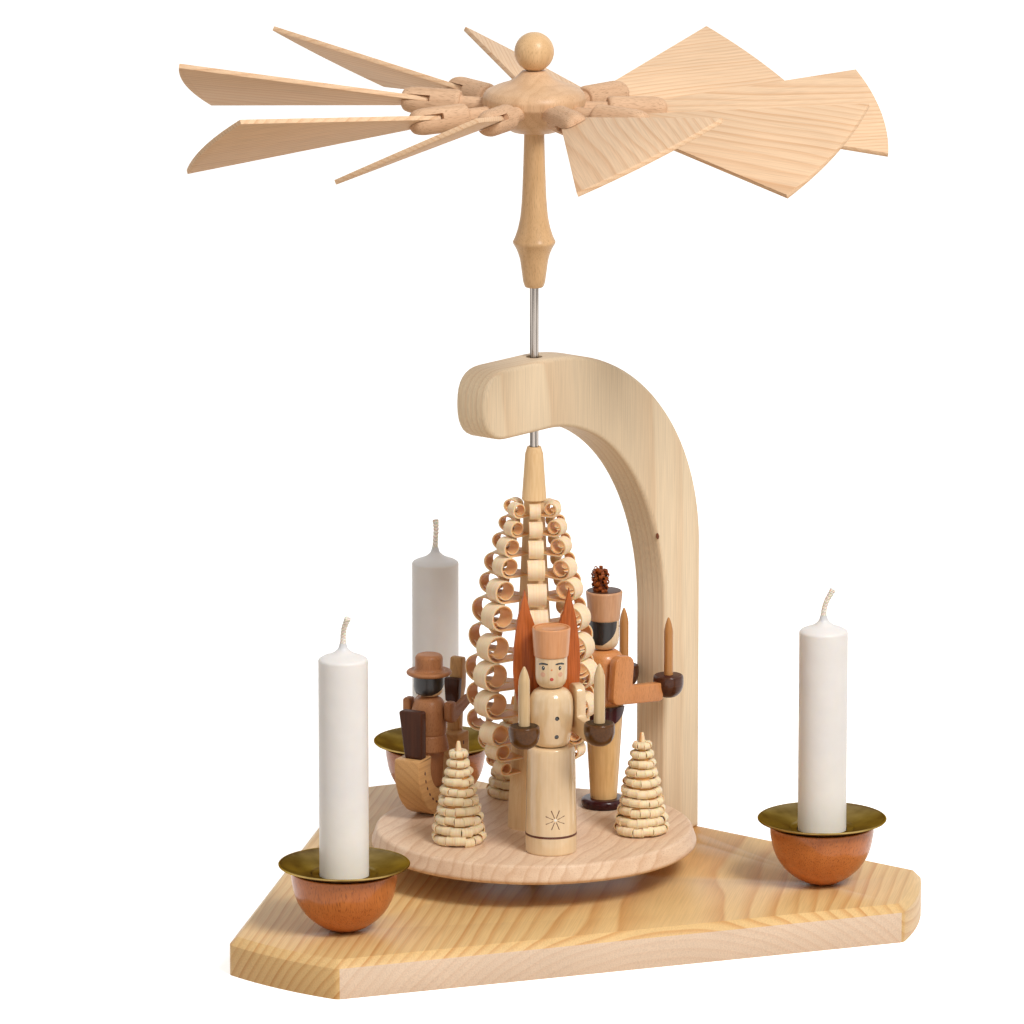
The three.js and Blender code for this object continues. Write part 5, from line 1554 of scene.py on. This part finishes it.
class PYRAMID_OT_angel(bpy.types.Operator):
    """Turns and paints the angel that carries two lights"""

    bl_idname = "pyramid.angel"
    bl_label = "Angel"

    def execute(self, context):
        place = figure_place(*ANGEL_PLACE)
        skirt = eased(
            [(0, 0), (7.2, 0, 0.3), (7.4, 0.5, 0.3)] + ring_groove(7.34, 5.4)
            + [(6.88, 29.8, 0.6), (6.5, 31.0, 0.5), (0, 31.0)]
        )
        torso = eased(
            [
                (0, 31.1), (4.6, 31.3, 0.4), (5.3, 32.2, 0.8), (6.05, 36.4, 2.5), (6.4, 42.2, 2.5), (6.1, 45.3, 1.4),
                (5.1, 47.1, 1.2), (3.5, 47.9, 0.6), (0, 47.9),
            ],
            steps=6,
        )
        line = turned([(7.12, 5.08), (7.4, 5.12), (7.4, 5.68), (7.12, 5.72)], "line_brown", 64, closed=True)
        body = [turned(skirt, "cream_lacquer").upright(), turned(torso, "cream_lacquer").upright(), line]
        torso_form = [p for p in torso if p[0] > 3.0]
        for height in (34.7, 40.2):
            body.append(dab(torso_form, 6, height, oval(0.62, 0.62, 14), 0.12, "eye_black"))
        skirt_form = [(7.38, 0.6), (6.9, 29.6)]
        # a mark of eight rays round a white dot, each ray drawn about its own middle
        mark_height = 10.6
        ray = [(-1.3, -0.13), (1.25, -0.16), (1.25, 0.16), (-1.3, 0.13)]
        for k in range(8):
            angle = math.pi / 8 + math.pi * k / 4
            across, height = 1.85 * math.cos(angle), mark_height + 1.85 * math.sin(angle)
            azimuth = math.degrees(across / radius_on(skirt_form, height))
            body.append(dab(skirt_form, azimuth, height, spun(ray, angle), 0.05, "line_brown"))
        body.append(dab(skirt_form, 0, mark_height, oval(0.4, 0.4, 12), 0.1, "eye_white"))
        on_plate("angel_body", body, place, "angel_wood")
        form = head_form(4.6, 9.3, 47.9)
        head = [
            turned(form + [(0, 57.2)], "cream_lacquer", 48).cut_from(turn(90, "Y") @ shift(3, 0, 0))
        ] + face_marks(form, 54.5, 4.6)
        on_plate("angel_head", head, place @ turn(-8), "angel_wood")
        low = 57.2
        crown = lathed(
            [
                (0, low), (4.85, low, 0.2), (5.0, low + 0.5, 0.3), (5.5, low + 8.1, 0.3), (5.25, low + 8.5, 0.25),
                (4.8, low + 8.2), (0, low + 8.0),
            ],
            "peach_lacquer",
            48,
        )
        hollow = turned(
            [(0, low + 7.0), (4.9, low + 7.9), (4.85, low + 8.25), (3.2, low + 7.75), (0, low + 7.5)],
            "peach_hollow",
            48,
        )
        on_plate("angel_crown", [crown.upright(), hollow.upright()], place, "peach_wood")
        half = [
            (0.5, 0), (0.8, 0.1), (0.95, 0.28), (1, 0.42), (0.98, 0.58), (0.88, 0.78), (0.66, 1), (0.5, 0.84),
            (0.32, 0.72), (0.12, 0.64),
        ]
        right = [(9.7 * w, 34 + 41 * h) for w, h in half]
        outline = right + [(-x, y) for x, y in right[::-1]]
        wings = sawn(outline, -8.65, -6.75, 0.3, "wing_stain").cut_from(turn(-90)).moved(STAND_Y)
        on_plate("angel_wings", [wings], place, "wing_wood", sharp=45)
        for side, word in ((1, "left"), (-1, "right")):
            arm = arm_board(34, side, 6.4, 8.7, 0, "cream_lacquer")
            light = arm_light(34, side, 6.4, 8.7, "olive_lacquer", "olive_flat", "bone_lacquer", 1.6)
            on_plate(f"angel_arm_{word}", [arm] + light, place, "angel_wood")
        return {"FINISHED"}


class PYRAMID_OT_miner(bpy.types.Operator):
    """Turns and dresses the miner with plume, apron and two lights"""

    bl_idname = "pyramid.miner"
    bl_label = "Miner"

    def execute(self, context):
        settings = context.scene.pyramid_tree
        place = figure_place(*MINER_PLACE)
        disc = lathed(
            [(0, 0), (6.1, 0, 0.5), (6.6, 1.0, 0.6), (6.55, 2.1, 0.6), (5.9, 2.8, 0.4), (0, 2.8)],
            "aubergine_lacquer",
            56,
        )
        legs = turned([(0, 2.7), (3.9, 2.8), (5.7, 31.2), (0, 31.2)], "yellow_lacquer", 48).upright()
        torso = eased(
            [
                (0, 31.2), (6.1, 31.2, 0.3), (6.4, 32.1, 0.6), (6.28, 40.0, 2.0), (5.9, 44.0, 1.5), (4.9, 46.2, 1.0),
                (3.2, 47.2, 0.5), (0, 47.2),
            ],
            steps=5,
        )
        chest = turned(torso, "orange_beech", 56).cut_from(turn(84, "Y") @ shift(2, 3, 0))
        on_plate("miner_body", [disc, legs, chest], place, "miner_wood")
        form = head_form(4.4, 8.9, 47.2)
        skull = turned(form + [(0, 56.1)], "cream_lacquer", 48).upright()
        heights = list(np.linspace(49.2, 56.05, 9))
        spread = [62 * (1 - (1 - (h - 49.2) / 6.85) ** 2.4) + 38 for h in heights]
        hair = wrapped(form, heights, spread, 0.12, "hair_black")
        head = [skull, hair] + face_marks(form, 53.0, 4.4)
        on_plate("miner_head", head, place, "angel_wood")
        low = 56.1
        hat = lathed(
            [
                (0, low), (4.5, low, 0.2), (4.6, low + 0.4, 0.2), (5.38, low + 8.2, 0.3), (5.1, low + 8.6, 0.2),
                (0, low + 8.6),
            ],
            "hat_pink",
            48,
        )
        lid = lathed([(0, low + 8.5), (4.95, low + 8.5), (4.9, low + 8.68, 0.05), (0, low + 8.68)], "hat_dark", 48)
        plume = self.plume(low + 8.6, settings)
        on_plate("miner_hat", [hat.upright(), lid.upright()] + plume, place, "hat_wood")
        hip = [(5.3, 23.8), (5.55, 27.0), (6.05, 30.9)]
        rows = list(np.linspace(23.9, 30.85, 12))
        cut = [112.0 * (1 - max(0.0, 1 - (h - 23.2) / 7.65) ** 2.6) for h in rows]
        apron = wrapped(hip, rows, cut, 0.5, "split_leather")
        on_plate("miner_apron", [apron], place, "apron_leather")
        for side, word in ((1, "left"), (-1, "right")):
            arm = arm_board(30.6, side, 6.4, 3, 5, "orange_beech").cut_from(turn(90))
            light = arm_light(30.6, side, 6.4, 3, "bowl_brown", "disc_brown", "tan_lacquer", 1.35)
            on_plate(f"miner_arm_{word}", [arm] + light, place, "miner_wood")
        return {"FINISHED"}

    def plume(self, low, settings):
        """A tuft of small dark ringlets round a short pin at the back of the hat."""
        at = shift(-1.6, 0, 0)
        made = [
            lathed(
                [(0, low - 0.3), (1.4, low - 0.3), (1.5, low + 6.3, 0.5), (0, low + 6.7)], "plume_shaving", 20
            ).moved(at)
        ]
        for n in range(8):
            reach = (2.1, 2.4, 2.65, 2.7, 2.7, 2.62, 2.4, 2.0)[n]
            path = [(reach - 1.9, -0.3)]
            for k in range(11):
                angle = math.radians(-140 + 300 * k / 10)
                path.append((reach - 0.62 + 0.52 * math.cos(angle), 0.52 * math.sin(angle)))
            ringlet = shaving(path, [0.48] * len(path), [0.16] * len(path), "plume_shaving")
            made.append(
                copies_round(
                    ringlet, 9, low + 0.5 + 0.85 * n, 0.5 * n, 0.25, 0.5, 0.05, settings.seed + 90 + n
                ).moved(at)
            )
        return made


class PYRAMID_OT_rider(bpy.types.Operator):
    """Saws the rocking horse and turns its rider"""

    bl_idname = "pyramid.rider"
    bl_label = "Rider"

    def execute(self, context):
        place = figure_place(*RIDER_PLACE)
        parts = [part.moved(STAND_X) for part in (self.rocker(), self.neck())]
        for side in (-1, 1):
            turns = range(186, 262, 12)
            places = [(x, z, a) for a, (x, z) in zip(turns, self.arc(12.3, [math.radians(a) for a in turns]))]
            for x, z, angle in places + [(12.4, 18.6, 0)]:
                spot = sawn(oval(0.36, 0.62, 12, math.radians(angle)), 4.0, 4.16, 0.06, "spot_brown", 2)
                spot = spot.moved(shift(x, z, 0)).moved(STAND_X)
                parts.append(spot if side < 0 else self.other_side(spot))
        on_plate("rocking_horse", parts, place, "horse_wood")
        tail = sawn(
            eased([(-3.7, 0, 0.4), (1.7, 0, 0.4), (3.7, 14.0, 0.9), (-3.7, 14.0, 0.9)], closed=True),
            -1.6,
            1.6,
            0.4,
            "dark_block",
        )
        tail = tail.cut_from(turn(-90)).moved(STAND_Y).moved(shift(-12.2, 0, 19.0))
        on_plate("horse_tail", [tail], place, "dark_wood")
        mane = sawn(
            eased([(-2.0, 0, 0.5), (2.0, 0, 0.5), (2.5, 7.0, 0.6), (-2.5, 7.0, 0.6)], closed=True),
            -1.2,
            1.2,
            0.4,
            "dark_block",
        )
        mane = mane.cut_from(turn(-90)).moved(STAND_Y).moved(shift(13.6, 0, 30.3))
        piece("horse_mane", [mane.moved(place)], "carousel", "dark_wood")
        back_shift = shift(-1.6, 0, 0)
        low = 19.2
        jacket = [
            (0, low), (5.6, low, 0.3), (5.8, low + 0.3, 0.3), (5.0, low + 4.4, 0.5), (4.7, low + 4.7, 0.3),
            (5.0, low + 5.2, 0.5), (5.2, low + 8.4, 2.0), (5.1, low + 12.6, 1.8), (3.9, low + 15.2, 1.4),
            (2.1, low + 16.0, 0.4), (0, low + 16.0),
        ]
        coat = lathed(jacket, "rider_beech", 56, steps=5).cut_from(turn(86, "Y")).moved(back_shift)
        trousers = self.legs().cut_from(turn(90)).moved(STAND_X)
        on_plate("rider_body", [trousers, coat], place, "rider_wood")
        neck = 35.2
        form = head_form(4.35, 6.4, neck)
        skull = turned(form + [(0, neck + 6.4)], "cream_lacquer", 48).upright()
        heights = list(np.linspace(neck + 0.3, neck + 6.36, 10))
        spread = [112 * (1 - (1 - (h - neck) / 7.0) ** 3.2) for h in heights]
        hair = wrapped(form, heights, spread, 0.14, "hair_black")
        brim = neck + 6.4
        hat = lathed(
            [
                (0, brim), (6.3, brim, 0.3), (6.7, brim + 0.65, 0.5), (6.3, brim + 1.3, 0.4), (4.5, brim + 1.25, 0.5),
                (4.08, brim + 1.9, 0.6), (4.05, brim + 5.3, 0.8), (3.3, brim + 6.1, 0.9), (0, brim + 6.1),
            ],
            "rider_beech",
            56,
            steps=5,
        ).cut_from(turn(88, "Y") @ shift(3, 0, 0))
        parts = [skull, hair, hat] + face_marks(form, neck + 4.2, 4.35)[1::4]
        on_plate("rider_head", [part.moved(back_shift) for part in parts], place, "rider_wood")
        for word in ("left", "right"):
            arm = merged_copy(f"rider_arm_{word}", 0.8, 3, "rider_beech").cut_from(turn(-60) @ turn(40, "Y"))
            stand_in(f"rider_arm_{word}", [arm], "carousel", "rider_wood")
        return {"FINISHED"}

    def rocker(self):
        """The thick rocker: most of a ring, with a low rear end and a post in front."""
        rear_rise, post_top = 3, 21.6
        rear, rear_inner = math.asin(rear_rise / ROCKER_OUTSIDE), math.asin(rear_rise / ROCKER_INSIDE)
        outer = self.arc(ROCKER_OUTSIDE, np.linspace(math.pi - rear, 2 * math.pi, 64))
        outer[0] = (*outer[0], 0.8)
        inner = self.arc(ROCKER_INSIDE, np.linspace(2 * math.pi, math.pi - rear_inner, 44))
        inner[-1] = (*inner[-1], 0.8)
        post = [(ROCKER_OUTSIDE, post_top, 0.9), (ROCKER_INSIDE, post_top, 0.9)]
        return sawn(eased(outer + post + inner, closed=True), -4.1, 4.1, 0.5, "oiled_pine")

    def arc(self, radius, angles):
        """Points on a circle about the rocker's middle."""
        return [(radius * math.cos(a), ROCKER_OUTSIDE + radius * math.sin(a)) for a in angles]

    def neck(self):
        """The thinner board of the neck and head."""
        line = [
            (13.3, 20.0), (16.0, 20.0), (17.0, 31.0, 1.5), (18.4, 34.0, 1.0), (18.6, 38.4, 1.5), (18.2, 43.0, 0.9),
            (15.5, 43.0, 0.9), (15.0, 37.0, 1.5), (13.3, 31.0, 1.5),
        ]
        return sawn(eased(line, closed=True, steps=5), -2.0, 2.0, 0.5, "oiled_pine").cut_from(turn(80))

    def legs(self):
        """The rider's legs as one board that stops short of the rocker's inner curve."""
        under = self.arc(ROCKER_INSIDE - 0.3, np.linspace(1.5 * math.pi - 0.678, 1.5 * math.pi + 0.234, 24))
        line = [(-6.8, 19.8)] + under + [(3.6, 19.8)]
        return sawn(line, -2.5, 2.5, 0.4, "rider_beech")

    def other_side(self, spot):
        """The same dab on the board's other face."""
        points = spot.points.copy()
        points[:, 1] *= -1
        return Part(points, spot.faces, spot.finish, spot.grain).outward()


# Stage


def plainly_seen(tree):
    """1 for what the camera sees directly, in a gloss or through glass, and 0 for light on the object."""
    path = node(tree, "ShaderNodeLightPath")
    glossy = maths(tree, "MAXIMUM", path.outputs["Is Camera Ray"], path.outputs["Is Glossy Ray"])
    return maths(tree, "MAXIMUM", glossy, path.outputs["Is Transmission Ray"])


class PYRAMID_OT_stage(bpy.types.Operator):
    """Lays the pale floor, hangs soft lamps and sets the camera at the photograph's angle"""

    bl_idname = "pyramid.stage"
    bl_label = "Stage"

    def execute(self, context):
        settings = context.scene.pyramid_stage
        scene = context.scene
        scene.view_settings.view_transform = "Standard"
        self.floor()
        self.world(settings.sky)
        self.lamp("key_lamp", KEY_PLACE, 0.6, settings.key)
        self.lamp("fill_lamp", FILL_PLACE, 1.2, settings.fill)
        camera = bpy.data.objects.new("camera", bpy.data.cameras.new("camera"))
        scene.collection.objects.link(camera)
        camera.location = CAMERA_PLACE
        camera.rotation_euler = [math.radians(a) for a in CAMERA_TURN]
        camera.data.sensor_width = 36.0
        camera.data.lens = settings.lens
        camera.data.clip_start, camera.data.clip_end = 0.01, 50.0
        scene.camera = camera
        return {"FINISHED"}

    def floor(self):
        sides, points, faces = 64, [(0.0, 0.0, 0.0)], []
        for radius in FLOOR_RINGS:
            points += circle(radius, sides, 0.0)
        for j in range(sides):
            k = (j + 1) % sides
            faces.append((0, 1 + j, 1 + k))
            for n in range(len(FLOOR_RINGS) - 1):
                a, b = 1 + n * sides, 1 + (n + 1) * sides
                faces.append((a + j, b + j, b + k, a + k))
        mesh = bpy.data.meshes.new("floor")
        mesh.from_pydata(points, [], faces)
        made, tree, principled = blank("matt_white_floor", Roughness=0.9, Specular_IOR_Level=0.1)
        place = node(tree, "ShaderNodeTexCoord").outputs["Object"]
        cloud = clouds(tree, place, 3.0, 2.0)
        shade = ramp(tree, cloud, ((0.3, linear("#F9F9F9")), (0.7, linear("#FDFDFD"))))
        tree.links.new(shade, principled.inputs["Base Color"])
        # the camera, gloss and glass see the paper lit to white, and its own light comes back weaker and warm
        glow = node(tree, "ShaderNodeEmission", {"Color": linear("#FFFFFF"), "Strength": 0.6})
        both = node(tree, "ShaderNodeAddShader", {0: principled.outputs["BSDF"], 1: glow.outputs[0]})
        bounce = node(tree, "ShaderNodeBsdfDiffuse", {"Color": linear("#C4B6A6")})
        mixed = node(tree, "ShaderNodeMixShader", {0: plainly_seen(tree), 1: bounce.outputs[0], 2: both.outputs[0]})
        output = next(n for n in tree.nodes if n.bl_idname == "ShaderNodeOutputMaterial")
        tree.links.new(mixed.outputs[0], output.inputs["Surface"])
        mesh.materials.append(made)
        floor = bpy.data.objects.new("floor", mesh)
        bpy.context.scene.collection.objects.link(floor)

    def world(self, strength):
        world = bpy.data.worlds.new("even_light")
        bpy.context.scene.world = world
        world.use_nodes = True
        tree = world.node_tree
        tree.nodes.clear()
        light = node(tree, "ShaderNodeBackground", {"Color": linear("#FFFAF4"), "Strength": strength})
        backdrop = node(tree, "ShaderNodeBackground", {"Color": linear("#FFFFFF"), "Strength": 1.0})
        mixed = node(tree, "ShaderNodeMixShader", {0: plainly_seen(tree), 1: light.outputs[0], 2: backdrop.outputs[0]})
        node(tree, "ShaderNodeOutputWorld", {"Surface": mixed.outputs[0]})

    def lamp(self, name, place, size, power):
        data = bpy.data.lights.new(name, "AREA")
        data.shape = "SQUARE"
        data.size = size
        data.energy = power
        data.color = linear("#FFFCF8")[:3]
        made = bpy.data.objects.new(name, data)
        bpy.context.scene.collection.objects.link(made)
        made.location = place
        made.rotation_euler = (Vector(LAMP_AIM) - Vector(place)).to_track_quat("-Z", "Y").to_euler()


OPERATORS = (
    PYRAMID_OT_stand,
    PYRAMID_OT_candle_places,
    PYRAMID_OT_spindle,
    PYRAMID_OT_blades,
    PYRAMID_OT_plate,
    PYRAMID_OT_curled_tree,
    PYRAMID_OT_small_trees,
    PYRAMID_OT_angel,
    PYRAMID_OT_miner,
    PYRAMID_OT_rider,
    PYRAMID_OT_stage,
)


class PYRAMID_PT_sidebar(bpy.types.Panel):
    bl_idname = "PYRAMID_PT_sidebar"
    bl_label = "Christmas pyramid"
    bl_space_type = "VIEW_3D"
    bl_region_type = "UI"
    bl_category = "Pyramid"

    def draw(self, context):
        scene = context.scene
        for settings in (scene.pyramid_wood, scene.pyramid_tree, scene.pyramid_stage):
            box = self.layout.box()
            for name in settings.__annotations__:
                box.prop(settings, name)
        for operator in OPERATORS:
            self.layout.operator(operator.bl_idname)


CLASSES = (PyramidWoodSettings, PyramidTreeSettings, PyramidStageSettings, *OPERATORS, PYRAMID_PT_sidebar)


def register():
    for made in CLASSES:
        bpy.utils.register_class(made)
    bpy.types.Scene.pyramid_wood = bpy.props.PointerProperty(type=PyramidWoodSettings)
    bpy.types.Scene.pyramid_tree = bpy.props.PointerProperty(type=PyramidTreeSettings)
    bpy.types.Scene.pyramid_stage = bpy.props.PointerProperty(type=PyramidStageSettings)


def unregister():
    del bpy.types.Scene.pyramid_stage
    del bpy.types.Scene.pyramid_tree
    del bpy.types.Scene.pyramid_wood
    for made in reversed(CLASSES):
        bpy.utils.unregister_class(made)


def main():
    register()
    bpy.ops.pyramid.stand()
    bpy.ops.pyramid.candle_places()
    bpy.ops.pyramid.spindle()
    bpy.ops.pyramid.blades()
    bpy.ops.pyramid.plate()
    bpy.ops.pyramid.curled_tree()
    bpy.ops.pyramid.small_trees()
    bpy.ops.pyramid.angel()
    bpy.ops.pyramid.miner()
    bpy.ops.pyramid.rider()
    bpy.ops.pyramid.stage()


if __name__ == "__main__":
    main()
